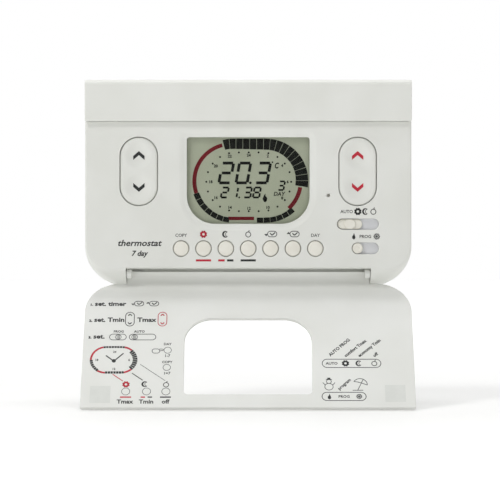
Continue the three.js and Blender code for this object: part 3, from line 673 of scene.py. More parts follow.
black, red = bmesh.new(), bmesh.new()
for first, last, *deep in DARK_STRETCHES:
    segments(black, RING, first, last, deep, 0.027)
for first, last, *deep in RED_STRETCHES:
    segments(red, RED_RING, first, last, deep, -0.03, 3)
for hour in range(24):
    dot, out = ring_point(hour / 24, DOT_RING)
    disc(black, dot.x, dot.y, 0.42, 12)
    if hour % 2 == 0:
        mark = str(hour or 24)
        at = dot - out * (1.15 + 0.3 * abs(out.x) * len(mark))
        words(black, mark, at.x, at.y - 0.55, 1.2, bold=0.07)
for figure, x in (("2", -12.2), ("0", -5.1), ("3", 3.1)):
    digit(black, figure, x, 0.05, 4.65, 8.2, 1.2)
disc(black, 0.86, 0.05, 0.56, 12)
for figure, x in (("2", -11.4), ("1", -7.5), ("3", -1.8), ("8", 1.9)):
    digit(black, figure, x, -6.0, 2.6, 4.1, 0.8)
disc(black, -3.75, -6.0, 0.4, 12)
digit(black, "3", 12.4, -2.9, 2.2, 3.55, 0.74)
disc(black, 10.0, 8.6, 0.36, 10)
words(black, "C", 11.6, 6.1, 2.4, bold=0.12, lean=0.25, stretch=0.72)
words(black, "DAY", 12.7, -5.3, 1.65, bold=0.06, lean=0.2)
flame = [(6.5, -7.8), (5.9, -6.6), (6.5, -5.2), (7.1, -4.3)]
flame += [(7.2, -5.4), (7.9, -6.3), (7.7, -7.4), (7.2, -8.0)]
black.faces.new([black.verts.new((x, y, 0)) for x, y in flame])
printed(black, "lcd_dark_segments", LCD_FACE, lcd_dark, "housing", "lcd_glass", 0.02)
printed(red, "lcd_red_segments", LCD_FACE, lcd_red, "housing", "lcd_glass", 0.02)

# ---- Display window ----------------------------------------------------------------------------
# A clear cast-acrylic plate, welded behind the panel's opening. It is polished on both faces, so
# it shows only as a faint gloss.
acrylic, tree = blank("clear_acrylic")
through = add(tree, "BsdfTransparent", {"Color": linear("fbfcfb")})
where = add(tree, "TexCoord").outputs["Object"]
waves = add(tree, "TexNoise", {"Vector": where, "Scale": 1000 / 30, "Detail": 1})
flow = add(tree, "Bump", {"Height": waves.outputs["Fac"], "Distance": 0.00003, "Strength": 0.3})
gloss = add(tree, "BsdfGlossy", {"Color": linear("ffffff"), "Roughness": 0.04, "Normal": flow.outputs[0]})
grazing = add(tree, "Fresnel", {"IOR": 1.2})
lens_mix = add(tree, "MixShader", {0: grazing.outputs[0], 1: through.outputs[0], 2: gloss.outputs[0]})
add(tree, "OutputMaterial", {"Surface": lens_mix.outputs[0]})
window = draft(loft((-27.4, 27.4, -18.9, 21.0), (1, 1, 1, 1), ((-25.2, 0), (-26.2, 0)), 4))
soften(window, 0.12, 2)
place(window, "clear_window", "housing", "window", acrylic, "display_window")

# ---- Front panel -------------------------------------------------------------------------------
# The moulded cream ABS front, with a dished opening for the display, openings for the keys and
# sliders, and two feet at the bottom whose bores hold the flap's pins. Screwed on from behind.
PANEL_WALL, CAVITY_TOP, CAVITY_HALF, CAVITY_FLOOR = 1.8, 23.8, 52.3, -33.9
RECESS_HALF, RECESS_TOP, RECESS_REAR, RECESS_LIP = 50.7, -34.5, -17.5, 1.0
PIN_Y, PIN_Z, PIN_BORE, POST_REAR = -24.2, -37.6, 1.45, -14.1
BUTTONS_X = [(i - 3) * 9.25 for i in range(7)]
BUTTON_Z, BUTTON_HOLE = -27.2, 6.8
ROCKER_X, ROCKER_Z, ROCKER_PIN_Y = 45.25, 4.7, -25
MODE_X, MODE_Z, SEASON_X, SEASON_Z = 42.05, -17.1, 45.2, -27.1
RESET_X, RESET_Z = 33.2, -5.2
LIP = 0.25


def extruded(section, x0, x1):
    """A form with one section of (y, z) all along x."""
    bm = bmesh.new()
    side_face = bm.faces.new([bm.verts.new((x0, y, z)) for y, z in section])
    made = bmesh.ops.extrude_face_region(bm, geom=[side_face])["geom"]
    moved = [g for g in made if isinstance(g, bmesh.types.BMVert)]
    bmesh.ops.translate(bm, verts=moved, vec=(x1 - x0, 0, 0))
    return bm


def pill(x, z, width, height, rings, steps=12):
    """A lofted form with round ends, centred on x, z."""
    r = min(width, height) / 2 * 0.9999
    return loft((x - width / 2, x + width / 2, z - height / 2, z + height / 2), (r,) * 4, rings, steps)


def lip(face, radius=LIP, start=0.0, steps=4):
    """Rings that round the rim of an opening over into a face."""
    turns = [math.pi / 2 * i / steps for i in range(steps + 1)]
    return [
        (face + radius * (1 - math.sin(t)), start + radius * (1 - math.cos(t))) for t in turns
    ]


panel = draft(body_form(0, PANEL_TOP, SPLIT, None))
cavity = draft(body_form(PANEL_WALL, CAVITY_TOP, SPLIT + 2, None))
combine(cavity, box(bmesh.new(), (-CAVITY_HALF, CAVITY_HALF), (-40, 10), (-60, CAVITY_FLOOR)))
combine(panel, cavity)
section = [(RECESS_REAR, -60), (RECESS_REAR, RECESS_TOP - RECESS_LIP)]
for t in (0, 0.26, 0.52, 0.79, 1.05, 1.31, 1.57):
    section.append((FRONT + RECESS_LIP * (1 - math.sin(t)), RECESS_TOP - RECESS_LIP * math.cos(t)))
section += [(-40, RECESS_TOP), (-40, -60)]
combine(panel, extruded(section, -RECESS_HALF, RECESS_HALF))
inside = bmesh.new()
for x, z in HOUSING_SCREWS:
    rod(inside, x, (POST_REAR, -27 if z > 0 else -26), z, 2.6, 24)
for side in (-1, 1):
    for near, far in ((-11, -9.4), (9.4, 11)):
        x = side * ROCKER_X
        box(inside, (x + near, x + far), (-27, -23.4), (ROCKER_Z - 1.8, ROCKER_Z + 1.8))
for x, z, half in ((30, MODE_Z, 3.4), (36, SEASON_Z, 3.3)):
    for end in (-1, 1):
        rail = sorted((z + end * (half + 0.3), z + end * (half + 1.1)))
        box(inside, (x, 61.5), (-27, -25.3), rail)
rod(inside, RESET_X, (-23.2, -27), RESET_Z, 2.5)
combine(panel, inside, "UNION")
hollow = bmesh.new()
for x, z in HOUSING_SCREWS:
    rod(hollow, x, (-10, -24.2), z, 1.45, 24)
for side in (-1, 1):
    rod(hollow, (side * ROCKER_X - 12, side * ROCKER_X + 12), ROCKER_PIN_Y, ROCKER_Z, 1.05, 24)
rod(hollow, RESET_X, (-20, -26.5), RESET_Z, 1.9)
combine(panel, hollow)
combine(panel, rod(bmesh.new(), (-54, 54), PIN_Y, PIN_Z, PIN_BORE))

DISH_WIDTH, DISH_DEPTH, DISH_STEPS = 3.3, 0.7, 9
rings = [(-20.0, 0.0)] + lip(FRONT + DISH_DEPTH)
for i in range(1, DISH_STEPS + 1):
    t = i / DISH_STEPS
    rings.append((FRONT + DISH_DEPTH * (1 - t * t * (3 - 2 * t)), LIP + (DISH_WIDTH - LIP) * t))
rings.append((FRONT - 1.5, DISH_WIDTH + 0.3))
openings = loft((-25.4, 25.4, -16.96, 18.86), (1.2, 1.2, 11.6, 11.6), rings, 14)
through = [(-20.0, 0.0)] + lip(FRONT) + [(FRONT - 1.5, LIP)]
for side in (-1, 1):
    gather(openings, pill(side * ROCKER_X, ROCKER_Z, 15.9, 28.7, through, 16))
gather(openings, pill(45.35, MODE_Z, 17.3, 4.6, through, 10))
gather(openings, pill(48.4, SEASON_Z, 11.2, 4.8, through, 10))
for x in BUTTONS_X:
    gather(openings, pill(x, BUTTON_Z, BUTTON_HOLE, BUTTON_HOLE, through, 10))
rod(openings, RESET_X, (-24, -30), RESET_Z, 0.7, 20)
combine(panel, openings)
dimple = Matrix.Translation((RESET_X, FRONT - 1.0, RESET_Z))
bm = bmesh.new()
bmesh.ops.create_uvsphere(bm, u_segments=32, v_segments=24, radius=1.55, matrix=dimple)
combine(panel, bm)
bay = box(bmesh.new(), (-55.8, -54.2), (POST_REAR, -28), (24.6, 40.5))
box(bay, (52.7, 54.3), (POST_REAR, -28), (24.6, 40.5))
combine(panel, bay, "UNION")
place(panel, "front_moulding", "housing", "cream_abs", cream_abs, "front_panel")

# ---- Push buttons ------------------------------------------------------------------------------
# Seven round keys moulded in slightly warmer, smoother ABS with a satin shine, each in one piece
# with its flange and stem. They drop in from behind, and rest on the mat's domes.
cap_abs = surface("abs_key_satin", ("e7e4d9", "ebe9df"), 5, 0.3, 0.008, (0.34, 0.46), IOR=1.53)
BUTTON_NAMES = ("copy", "comfort", "economy", "off", "clock_forward", "clock_back", "day")


def turned(profile, x, z, sides=40):
    """A draft spun round an axis along Y from a profile of (radius, y)."""
    bm = bmesh.new()
    points = [bm.verts.new((r, y, 0)) for r, y in profile]
    edges = [bm.edges.new(pair) for pair in zip(points, points[1:])]
    bmesh.ops.spin(
        bm,
        geom=points + edges,
        cent=(0, 0, 0),
        axis=(0, 1, 0),
        angle=2 * math.pi,
        steps=sides,
        use_merge=True,
    )
    bmesh.ops.translate(bm, verts=bm.verts, vec=(x, 0, z))
    return draft(bm)


KEY_CROWN = ((0, -28.52), (1.1, -28.5), (2.1, -28.43), (2.65, -28.34), (2.92, -28.2), (3.08, -28.0))
KEY_FLANGE = ((3.15, -27.7), (3.15, -26.2), (4.1, -26.2), (4.1, -25.2))
KEY_STEM = ((1.8, -25.2), (1.8, -21.6), (0, -21.6))
for name, x in zip(BUTTON_NAMES, BUTTONS_X):
    key = turned(KEY_CROWN + KEY_FLANGE + KEY_STEM, x, BUTTON_Z)
    place(key, f"key_{name}", f"button_{name}", "cap_abs", cap_abs, f"button_{name}")

# ---- Rocker keys -------------------------------------------------------------------------------
# Two pill-shaped keys that tip on moulded pivots. Each has a rounded rim, a shallow finger dimple
# at each end, and two legs over its domes. The arrows are pad printed in the dimples.
ROCKER_WIDTH, ROCKER_HEIGHT, ROCKER_FRONT = 15.4, 28.2, -28.1
RIM, DIMPLE_RADIUS, DIMPLE_DEPTH = 1.0, 5.8, 1.0
DIMPLE_Z = ROCKER_HEIGHT / 2 - ROCKER_WIDTH / 2


def dimple_at(x, z):
    """How deep the finger dimples are at a point, from the rocker's middle."""
    r = min(math.hypot(x, abs(z) - DIMPLE_Z) / DIMPLE_RADIUS, 1)
    return DIMPLE_DEPTH * (1 - r**3) ** 2


for name, side, ink in (("economy", -1, dark_ink), ("comfort", 1, red_ink)):
    w, h = ROCKER_WIDTH / 2, ROCKER_HEIGHT / 2
    insides = [RIM * (1 - math.cos(math.pi / 2 * i / 7)) for i in range(8)]
    insides += [RIM + (w * 0.9999 - RIM) * i / 16 for i in range(1, 17)]
    rings = [(-24.8, 0.0)] + [(ROCKER_FRONT + RIM, -inside) for inside in insides]
    bm = loft((-w, w, -h, h), (w * 0.9999,) * 4, rings, 18, 26)
    middle = min((f for f in bm.faces if len(f.verts) > 90), key=lambda f: f.calc_area())
    bmesh.ops.delete(bm, geom=[middle], context="FACES_ONLY")
    bmesh.ops.remove_doubles(bm, verts=bm.verts, dist=3e-3)
    for v in bm.verts:
        if v.co.y < ROCKER_FRONT + RIM + 0.01:
            inside = w - math.hypot(v.co.x, max(abs(v.co.z) - DIMPLE_Z, 0))
            swell = math.sqrt(max(0.0, 1 - (1 - min(inside, RIM) / RIM) ** 2)) * RIM
            v.co.y = ROCKER_FRONT + RIM - swell + dimple_at(v.co.x, v.co.z) * min(inside / RIM, 1)
    bmesh.ops.translate(bm, verts=bm.verts, vec=(side * ROCKER_X, 0, ROCKER_Z))
    key = draft(bm)
    x = side * ROCKER_X
    back = loft((x - 9, x + 9, ROCKER_Z - 15.5, ROCKER_Z + 15.5), (8,) * 4, ((-24.1, 0), (-25.3, 0)), 10)
    combine(key, back, "UNION")
    pivot = rod(bmesh.new(), (x - 10.6, x + 10.6), ROCKER_PIN_Y, ROCKER_Z, 0.8, 24)
    combine(key, pivot, "UNION")
    legs = bmesh.new()
    for end in (-1, 1):
        rod(legs, x, (-24.6, -21.6), ROCKER_Z + end * 9, 1.8)
    combine(key, legs, "UNION")
    place(key, f"rocker_key_{name}", f"rocker_{name}", "cap_abs", cream_abs, f"rocker_{name}", 42)
    bm = bmesh.new()
    for end in (-1, 1):
        for half in (-1, 1):
            patch = bmesh.ops.create_grid(bm, x_segments=6, y_segments=3, size=0.5)["verts"]
            for v in patch:
                out = v.co.x + 0.5
                height = end * (DIMPLE_Z + 0.2 + 2.0 * (0.5 - out)) + v.co.y * 1.65
                v.co = (half * out * 2.35, height, 0)
    for v in bm.verts:
        v.co.z -= dimple_at(v.co.x, v.co.y)
    face = Matrix(((1, 0, 0, x), (0, 0, -1, ROCKER_FRONT - 0.01), (0, 1, 0, ROCKER_Z), (0, 0, 0, 1)))
    printed(bm, f"rocker_arrows_{name}", face, ink, f"rocker_{name}", "cap_abs", 0.05)

# ---- Sliders and reset -------------------------------------------------------------------------
# Two sliding knobs moulded in key ABS, each snapped on a pale shutter strip that closes its slot
# behind it. A pin pushed through the small hole presses the reset plunger.
shutter_abs = surface("abs_shutter_white", ("dfe0e4", "e4e5e8"), 8, 0.3, 0.008, (0.36, 0.5), IOR=1.53)
knob_rings = ((-25.9, 0), (-26.9, 0), (-27.12, -0.06), (-27.3, -0.2), (-27.4, -0.45))
ridge_rings = ((-26.8, 0), (-27.75, 0), (-28.0, -0.1), (-28.14, -0.3), (-28.2, -0.6))
knob = draft(pill(MODE_X, MODE_Z, 10.3, 4.2, knob_rings))
combine(knob, pill(MODE_X, MODE_Z, 4.8, 4.18, ridge_rings), "UNION")
place(knob, "mode_knob", "mode_slider", "cap_abs", cap_abs, "mode_slider")
SEASON_CROWN = ((0, -28.04), (0.75, -28.04), (0.95, -27.96), (1.15, -28.04), (1.75, -28.16))
SEASON_SIDE = ((2.0, -28.08), (2.14, -27.9), (2.2, -27.6), (2.2, -25.9), (0, -25.9))
knob = turned(SEASON_CROWN + SEASON_SIDE, SEASON_X, SEASON_Z, 32)
place(knob, "season_knob", "season_slider", "cap_abs", cap_abs, "season_slider")
for name, x, z, half_x, half_z in (
    ("mode", MODE_X, MODE_Z, 12.8, 3.4),
    ("season", SEASON_X, SEASON_Z, 9.5, 3.3),
):
    bm = box(bmesh.new(), (x - half_x, x + half_x), (-25.5, -26.2), (z - half_z, z + half_z))
    shutter = draft(bm)
    combine(shutter, box(bmesh.new(), (x - 1.1, x + 1.1), (-25.8, -21.4), (z - 1, z + 1)), "UNION")
    soften(shutter, 0.12, 2)
    place(shutter, f"{name}_shutter", f"{name}_slider", "cap_abs", shutter_abs)
dress(cap_abs, "cap_abs", "reset_plunger")

# ---- Panel print -------------------------------------------------------------------------------
# The labels of the keys and sliders, pad printed on the moulding in black and red ink: a ringed
# sun for comfort, a moon for economy, a ring for off, and small clock faces for the clock keys.
PANEL_FACE = Matrix(((1, 0, 0, 0), (0, 0, -1, FRONT - 0.004), (0, 1, 0, 0), (0, 0, 0, 1)))


def sun(bm, x, y, size=1.0):
    """A ring with a scalloped edge."""
    rounded_ring(bm, x, y, 2.7 * size, 2.7 * size, 0.82 * size, 6)
    for i in range(8):
        turn = math.radians(45 * i + 22.5)
        reach = 1.3 * size
        disc(bm, x + reach * math.cos(turn), y + reach * math.sin(turn), 0.3 * size, 8)


def moon(bm, x, y, size=1.0):
    """A crescent, open to the right."""
    arc(bm, x, y, 1.2 * size, 62, 298, lambda t: size * (0.12 + 0.62 * math.sin(math.pi * t)), 12)
    arc(bm, x + 0.75 * size, y, 0.95 * size, 95, 265, 0.22 * size, 8)


def power(bm, x, y, size=1.0):
    """A ring with a tick at its top."""
    rounded_ring(bm, x, y, 2.4 * size, 2.4 * size, 0.3 * size, 6)
    stroke(bm, (x + 0.1 * size, y + 1.0 * size), (x + 0.45 * size, y + 1.75 * size), 0.32 * size)


def clock_key(bm, x, y, up, size=1.0):
    """A clock face with an arrow at its left, pointing on or back."""
    rounded_ring(bm, x + 0.55 * size, y, 4.1 * size, 2.6 * size, 0.28 * size, 6)
    hands = [(-0.55, 0.35), (0.3, -0.5), (1.6, 0.65)]
    line(bm, [(x + (a + 0.2) * size, y + b * size) for a, b in hands], 0.42 * size)
    tip = 0.9 if up else -0.9
    corners = [(-2.75, 0), (-1.15, 0), (-1.95, tip)]
    face = [bm.verts.new((x + a * size, y + b * size, 0.012)) for a, b in corners]
    bm.faces.new(face if up else face[::-1])


def flame_mark(bm, x, y, size=1.0):
    """A small flame."""
    left = [(-0.1, -1.5), (-0.75, -0.9), (-0.7, -0.1), (-0.2, 0.6)]
    right = [(0.1, 1.5), (0.5, 0.4), (0.8, -0.5), (0.5, -1.3)]
    points = [(x + a * size, y + b * size, 0) for a, b in left + right]
    bm.faces.new([bm.verts.new(point) for point in points[::-1]])


def snowflake(bm, x, y, size=1.0):
    """Six spokes in a ring of dots."""
    for i in range(3):
        turn = math.radians(60 * i + 30)
        dx, dy = 1.35 * size * math.cos(turn), 1.35 * size * math.sin(turn)
        stroke(bm, (x - dx, y - dy), (x + dx, y + dy), 0.28 * size, 0.006 * i)
    for i in range(6):
        turn = math.radians(60 * i)
        disc(bm, x + 1.05 * size * math.cos(turn), y + 1.05 * size * math.sin(turn), 0.3 * size, 8)


black, red = bmesh.new(), bmesh.new()
ICON_Z, WORD_Z, BAR_Z = -21.3, -22.35, -32.1
words(black, "COPY", BUTTONS_X[0], WORD_Z, 1.35, bold=0.02)
sun(red, BUTTONS_X[1], ICON_Z)
moon(black, BUTTONS_X[2], ICON_Z)
power(black, BUTTONS_X[3], ICON_Z - 0.1)
clock_key(black, BUTTONS_X[4] + 0.1, ICON_Z + 0.1, False)
clock_key(black, BUTTONS_X[5] + 0.1, ICON_Z + 0.1, True)
words(black, "DAY", BUTTONS_X[6], WORD_Z, 1.35, bold=0.02)
for ink, at, left, right in (
    (red, 1, -3.15, 3.15),
    (red, 2, -3.15, -0.5),
    (black, 2, 0.5, 3.15),
    (black, 3, -3.15, 3.15),
):
    stroke(ink, (BUTTONS_X[at] + left, BAR_Z), (BUTTONS_X[at] + right, BAR_Z), 0.85)
words(black, "AUTO", 40.7, -12.55, 1.35, bold=0.03)
sun(black, 45.3, -11.9)
moon(black, 48.6, -11.9)
power(black, 51.7, -12.0)
flame_mark(black, 43.6, -22.1, 0.9)
words(black, "PROG", 48.4, -22.85, 1.35, bold=0.03)
snowflake(black, 53.1, -22.2)
words(black, "thermostat", -45.1, -26.1, 2.6, lean=0.25, bold=0.07, stretch=1.12)
words(black, "7 day", -45.1, -30.2, 2.2, lean=0.25, bold=0.08)
printed(black, "panel_print_black", PANEL_FACE, dark_ink, "housing", "cream_abs")
printed(red, "panel_print_red", PANEL_FACE, red_ink, "housing", "cream_abs")

# ---- Cells and contacts ------------------------------------------------------------------------
# Two AA cells lie end to end in the bay at the top: a steel can in a printed film sleeve. A coiled
# steel wire and a flat plate touch their ends.
CELL_Y, CELL_Z, CELL_PITCH, CELLS_LEFT, LABEL_RADIUS = -21.3, 33.3, 50.8, -49.6, 6.6
CELL_REAR = ((0, 0), (4.2, 0), (4.5, 0.25), (6.4, 0.25), (6.9, 0.1), (7.2, 0.45))
CELL_SHOULDER = ((7.2, 48.6), (6.9, 49.0), (6.3, 48.85), (3.4, 48.85))
CELL_NUB = ((2.75, 49.1), (2.7, 50.25), (2.45, 50.5), (0, 50.5))
label, tree = blank("printed_cell_sleeve")
where = add(tree, "TexCoord").outputs["Object"]
spot = add(tree, "SeparateXYZ", {"Vector": where})
first = (CELL_PITCH - CELLS_LEFT) / 1000
shifted = add(tree, "Math", {0: spot.outputs["X"], 1: first}, operation="ADD")
within = add(tree, "Math", {0: shifted.outputs[0], 1: CELL_PITCH / 1000}, operation="MODULO")
share = add(tree, "Math", {0: within.outputs[0], 1: 20.0}, operation="MULTIPLY")
band = add(tree, "ValToRGB", {"Fac": share.outputs[0]})
band.color_ramp.interpolation = "CONSTANT"
band.color_ramp.elements[0].color = linear("2c3238")
band.color_ramp.elements[1].position = 0.7
band.color_ramp.elements[1].color = linear("cfd2d1")
film_grain = add(tree, "TexNoise", {"Vector": where, "Scale": 1000 / 0.6, "Detail": 2})
film_rough = add(tree, "MapRange", {"Value": film_grain.outputs["Fac"], "To Min": 0.2, "To Max": 0.32})
sleeve_shader = add(
    tree, "BsdfPrincipled", {"Base Color": band.outputs["Color"], "Roughness": film_rough.outputs[0]}
)
add(tree, "OutputMaterial", {"Surface": sleeve_shader.outputs[0]})
for number in (1, 2):
    bm = bmesh.new()
    profile = CELL_REAR + CELL_SHOULDER + CELL_NUB
    points = [bm.verts.new((along, radius, 0)) for radius, along in profile]
    edges = [bm.edges.new(pair) for pair in zip(points, points[1:])]
    bmesh.ops.spin(
        bm, geom=points + edges, cent=(0, 0, 0), axis=(1, 0, 0), angle=2 * math.pi, steps=48, use_merge=True
    )
    for face in bm.faces:
        middle = face.calc_center_median()
        if math.hypot(middle.y, middle.z) < LABEL_RADIUS:
            face.material_index = 1
    start = CELLS_LEFT + (number - 1) * CELL_PITCH
    bmesh.ops.translate(bm, verts=bm.verts, vec=(start, CELL_Y, CELL_Z))
    cell = draft(bm)
    place(cell, f"aa_cell_{number}", "housing", "cell_label", [label, zinc_steel], f"battery_{number}")
spring_steel = surface(
    "nickel_plated_spring_steel", ("b5b6b4", "cfcfcb"), 2, 0.1, 0.003, (0.18, 0.3), Metallic=1.0
)
dress(spring_steel, "steel", "battery_spring", "battery_plate")

# ---- Battery cover -----------------------------------------------------------------------------
# The raised strip across the top, moulded in the same cream ABS. It pulls straight off forwards,
# and its lower edge stands proud of the panel.
COVER_FRONT, COVER_BOTTOM, COVER_WALL = -30.7, 25.35, 1.7
bm = box(bmesh.new(), (-HALF_WIDTH, HALF_WIDTH), (SPLIT, COVER_FRONT), (COVER_BOTTOM, TOP))
top_front = [
    e for e in bm.edges if all(v.co.z > TOP - 0.1 and v.co.y < COVER_FRONT + 0.1 for v in e.verts)
]
bmesh.ops.bevel(bm, geom=top_front, offset=2.0, segments=8, profile=0.5, material=-1, affect="EDGES")
cover = draft(bm)
inner_x = HALF_WIDTH - 1.6
combine(cover, box(bmesh.new(), (-inner_x, inner_x), (COVER_FRONT + COVER_WALL, 0), (26.6, TOP - 1.6)))
combine(cover, box(bmesh.new(), (-inner_x, inner_x), (-28.6, 0), (20, 26.7)))
guides = bmesh.new()
for side in (-1, 1):
    box(guides, sorted((side * 57, side * 63)), (-29.1, -21), (25.6, 26.8))
soften(cover, 0.45, 3)
combine(cover, guides, "UNION")
place(cover, "battery_lid", "battery_cover", "cover_abs", cream_abs, "battery_cover")

# ---- Flap --------------------------------------------------------------------------------------
# The drop-down door, moulded in one piece with the tongue, ears and pins that hang it in the feet.
# It is drawn closed, then turned about its pins to where it rests when open.
OPEN_DEGREES = 143.8
FLAP_INNER, FLAP_OUTER, FLAP_TOP, FLAP_BOTTOM = -28.9, -30.7, 25.1, -35.9
FLAP_EDGE, TONGUE_HALF, EAR = 0.3, 50.4, 2
pins = Matrix.Translation((0, PIN_Y, PIN_Z))
OPENED = pins @ Matrix.Rotation(math.radians(OPEN_DEGREES), 4, "X") @ pins.inverted()
# Painted light: the flap's cream ABS is drawn a shade lighter than the front's, for its face tilted up to
# the lamps.
flap_abs = surface("abs_flap_fine_spark_painted_lighter", ("e3e4df", "e8e9e5"), 26, 0.3, 0.012, (0.4, 0.52), IOR=1.53)

def bent(*guides):
    """Nine points along a curve from the first of three guides to the last."""
    points = []
    for t in (i / 8 for i in range(9)):
        mix = ((1 - t) ** 2, 2 * t * (1 - t), t * t)
        points.append(tuple(sum(m * p[k] for m, p in zip(mix, guides)) for k in (0, 1)))
    return points


turns = [math.pi / 2 * i / 4 for i in range(5)]
rings = [(FLAP_INNER - FLAP_EDGE * (1 - math.cos(t)), -FLAP_EDGE * (1 - math.sin(t))) for t in turns]
for t in turns[::-1]:
    rings.append((FLAP_OUTER + FLAP_EDGE * (1 - math.cos(t)), -FLAP_EDGE * (1 - math.sin(t))))
flap = draft(loft((-HALF_WIDTH, HALF_WIDTH, FLAP_BOTTOM, FLAP_TOP), (0.6, 0.6, 14, 14), rings, 16))
rings = [(y, -offset) for y, offset in rings]
rings = [(FLAP_INNER + 1, FLAP_EDGE)] + rings + [(FLAP_OUTER - 1, FLAP_EDGE)]
combine(flap, loft((-26, 26, -18.3, 18.7), (1.8, 1.8, 11.5, 11.5), rings, 14))
root, bend = FLAP_BOTTOM + 1.4, FLAP_BOTTOM - 0.3
section = [(FLAP_INNER, root), (FLAP_OUTER, root)]
section += bent((FLAP_OUTER, bend), (FLAP_OUTER + 0.2, bend - 3.4), (FLAP_OUTER + 3.1, bend - 4.9))
section += bent((FLAP_OUTER + 4.2, bend - 3.9), (FLAP_INNER + 0.2, bend - 2.7), (FLAP_INNER, bend))
combine(flap, extruded(section, -TONGUE_HALF, TONGUE_HALF), "UNION")
web = [(PIN_Y + 1.24, PIN_Z - 1.3), (PIN_Y - 1.24, PIN_Z + 1.3)]
web += [(FLAP_OUTER + 2.1, bend - 2), (FLAP_OUTER + 3.4, bend - 4.4)]
for side in (-1, 1):
    combine(flap, extruded(web, side * (TONGUE_HALF - EAR), side * TONGUE_HALF), "UNION")
    for radius, x0, x1 in ((1.9, TONGUE_HALF - EAR, TONGUE_HALF), (1.2, TONGUE_HALF - 1, 52.1)):
        combine(flap, rod(bmesh.new(), (side * x0, side * x1), PIN_Y, PIN_Z, radius), "UNION")
flap.data.transform(OPENED)
place(flap, "printed_flap", "flap", "flap_abs", flap_abs, "flap")

# ---- Flap print --------------------------------------------------------------------------------
# The setting-up guide pad printed inside the flap, in black and red, and two smooth pads left by
# the mould. Heights are measured from the free edge.
FLAP_FACE = OPENED @ Matrix(
    ((1, 0, 0, 0), (0, 0, 1, FLAP_INNER + 0.004), (0, -1, 0, FLAP_TOP), (0, 0, 0, 1))
)
black, red = bmesh.new(), bmesh.new()
for text, x, y, size in (
    ("1.", -65.4, 49.7, 1.1),
    ("set. timer", -63.4, 49.7, 2.15),
    ("2.", -65.4, 41.7, 1.1),
    ("set. Tmin", -63.4, 41.7, 2.15),
    ("Tmax", -45.6, 41.7, 2.15),
    ("3.", -65.4, 33.4, 1.1),
    ("set.", -63.4, 33.4, 2.15),
):
    words(black, text, x, y, size, "LEFT", bold=0.1, stretch=1.12)
clock_key(black, -45.7, 50.8, False)
clock_key(black, -39.5, 50.8, True)
for bm, x in ((black, -48.7), (red, -35.3)):
    rounded_ring(bm, x, 43.0, 3.9, 7.2, 0.3)
    for end in (-1, 1):
        points = [(x - 0.75, 43 + end * 1.7), (x, 43 + end * 2.5), (x + 0.75, 43 + end * 1.7)]
        line(bm, points, 0.45)
for x, w, knob_x, text, text_x in (
    (-53.35, 7.1, -53.2, "PROG", -53.1),
    (-43.25, 11.1, -46.5, "AUTO", -44.6),
):
    rounded_ring(black, x, 34.1, w, 3.1, 0.26)
    rounded_ring(black, knob_x, 34.1, 2.6, 2.5, 0.2, 6)
    for shift in (-0.5, 0, 0.5):
        stroke(black, (knob_x + shift, 33.1), (knob_x + shift, 35.1), 0.22)
    words(black, text, text_x, 36.3, 1.15, bold=0.04)
GUIDE_RING = {"left": -64.4, "right": -45.0, "top": 29.6, "bottom": 16.2}
for first, last, deep in ((-4, 4, 0.9), (7, 17, 1.9), (20, 27, 1.1), (30, 36, 1.2)):
    segments(black, GUIDE_RING, first, last, (deep, deep), 0.08)
for first, last in ((4, 7), (17, 20), (27, 30), (36, 44)):
    segments(red, GUIDE_RING, first, last, (0.8, 0.8), -0.03)
line(black, ((-57.9, 25.0), (-54.6, 22.2), (-50.8, 26.1)), 0.5)
disc(black, -54.6, 22.4, 0.85)
for text, x, y in (("24", -54.4, 26.3), ("18", -61.6, 22.4), ("12", -54.5, 18.0), ("6", -48.4, 22.4)):
    words(black, text, x, y, 1.0, bold=0.04)
stroke(red, (-54.9, 15.9), (-50.6, 12.6), 0.35)
stroke(black, (-47.0, 16.4), (-42.6, 13.0), 0.35)
stroke(black, (-43.8, 20.7), (-33.5, 12.8), 0.2)
sun(red, -49.3, 11.0)
moon(black, -41.5, 11.1)
power(black, -33.1, 10.8)
for x in (-49.3, -40.9, -33.1):
    rounded_ring(black, x, 7.6, 3.5, 3.5, 0.2)
for ink, left, right in (
    (red, -51.5, -47.0),
    (red, -43.2, -41.4),
    (black, -40.4, -38.6),
    (black, -35.4, -31.0),
):
    stroke(ink, (left, 4.9), (right, 4.9), 0.6)
for text, x in (("Tmax", -49.5), ("Tmin", -40.9), ("off", -33.2)):
    words(black, text, x, 1.9, 1.9, bold=0.08, stretch=1.08)
for text, y, size in (("DAY", 30.1, 1.15), ("1-7", 24.3, 1.3), ("COPY", 21.3, 1.15), ("1=7", 15.8, 1.3)):
    words(black, text, -32.9, y, size, bold=0.04)
rounded_ring(black, -32.8, 27.6, 3.2, 3.2, 0.2)
rounded_ring(black, -33.0, 19.2, 3.2, 3.2, 0.2)
rounded_ring(black, -37.6, 27.2, 3.4, 2.3, 0.25, 6)
line(black, ((-36.2, 28.2), (-34.6, 28.1), (-34.6, 27.5), (-36.0, 27.3)), 0.25)
rounded_ring(black, 42.05, 21.2, 24.1, 4.3, 0.28, 10)
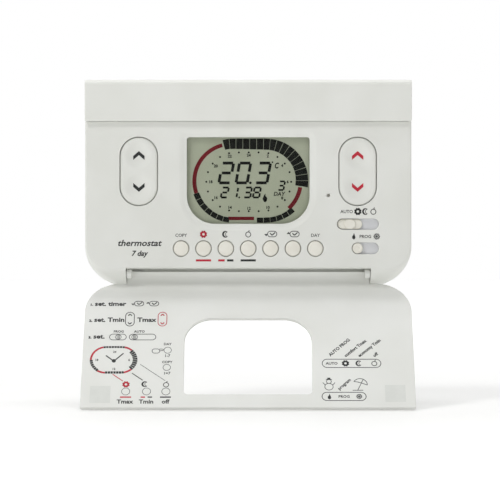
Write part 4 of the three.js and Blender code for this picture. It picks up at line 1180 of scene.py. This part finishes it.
words(black, "AUTO", 34.0, 20.6, 1.25, bold=0.04)
sun(black, 39.6, 21.2)
moon(black, 45.2, 21.2)
power(black, 51.3, 21.1)
for text, x, y, turn in (
    ("AUTO PROG", 33.6, 24.6, 44),
    ("comfort Tmax", 39.8, 24.2, 42),
    ("economy Tmin", 45.4, 24.2, 42),
    ("off", 51.5, 24.2, 42),
):
    words(black, text, x, y, 1.45, "LEFT", turn, bold=0.07)
rounded_ring(black, 38.7, 5.25, 18.0, 4.2, 0.28, 10)
flame_mark(black, 32.8, 5.2, 0.9)
words(black, "PROG", 38.7, 4.65, 1.25, bold=0.04)
snowflake(black, 44.8, 5.25, 0.9)
rounded_ring(black, 32.7, 9.9, 3.6, 3.4, 0.24)
rounded_ring(black, 32.7, 12.4, 2.2, 2.1, 0.24, 6)
stroke(black, (31.5, 13.4), (33.9, 13.4), 0.3)
stroke(black, (32.1, 13.8), (33.3, 13.8), 0.8, 0.006)
line(black, ((30.2, 11.9), (31.2, 10.7)), 0.26)
line(black, ((35.2, 11.9), (34.2, 10.7)), 0.26)
words(black, "program", 36.9, 8.2, 1.45, "LEFT", 45, bold=0.05)
arc(black, 45.3, 10.9, 2.9, -5, 150, 0.26, 12)
line(black, ((42.8, 12.4), (44.1, 12.2), (45.3, 11.9), (46.8, 11.3), (48.2, 10.7)), 0.26)
line(black, ((46.6, 13.5), (44.3, 8.3)), 0.26)
stroke(black, (42.2, 8.2), (46.5, 8.2), 0.26)
printed(black, "flap_print_black", FLAP_FACE, dark_ink, "flap", "flap_abs")
printed(red, "flap_print_red", FLAP_FACE, red_ink, "flap", "flap_abs")
pad_abs = surface("abs_polished_mould_pad", ("d9dbd6", "dddfda"), 4, 1.2, 0.01, (0.26, 0.38), IOR=1.53)
pads = bmesh.new()
for x, y in ((-59.6, 6.2), (59.4, 6.7)):
    stroke(pads, (x - 4.15, y), (x + 4.15, y), 8.1)
printed(pads, "flap_mould_pads", FLAP_FACE, pad_abs, "flap", "flap_abs")
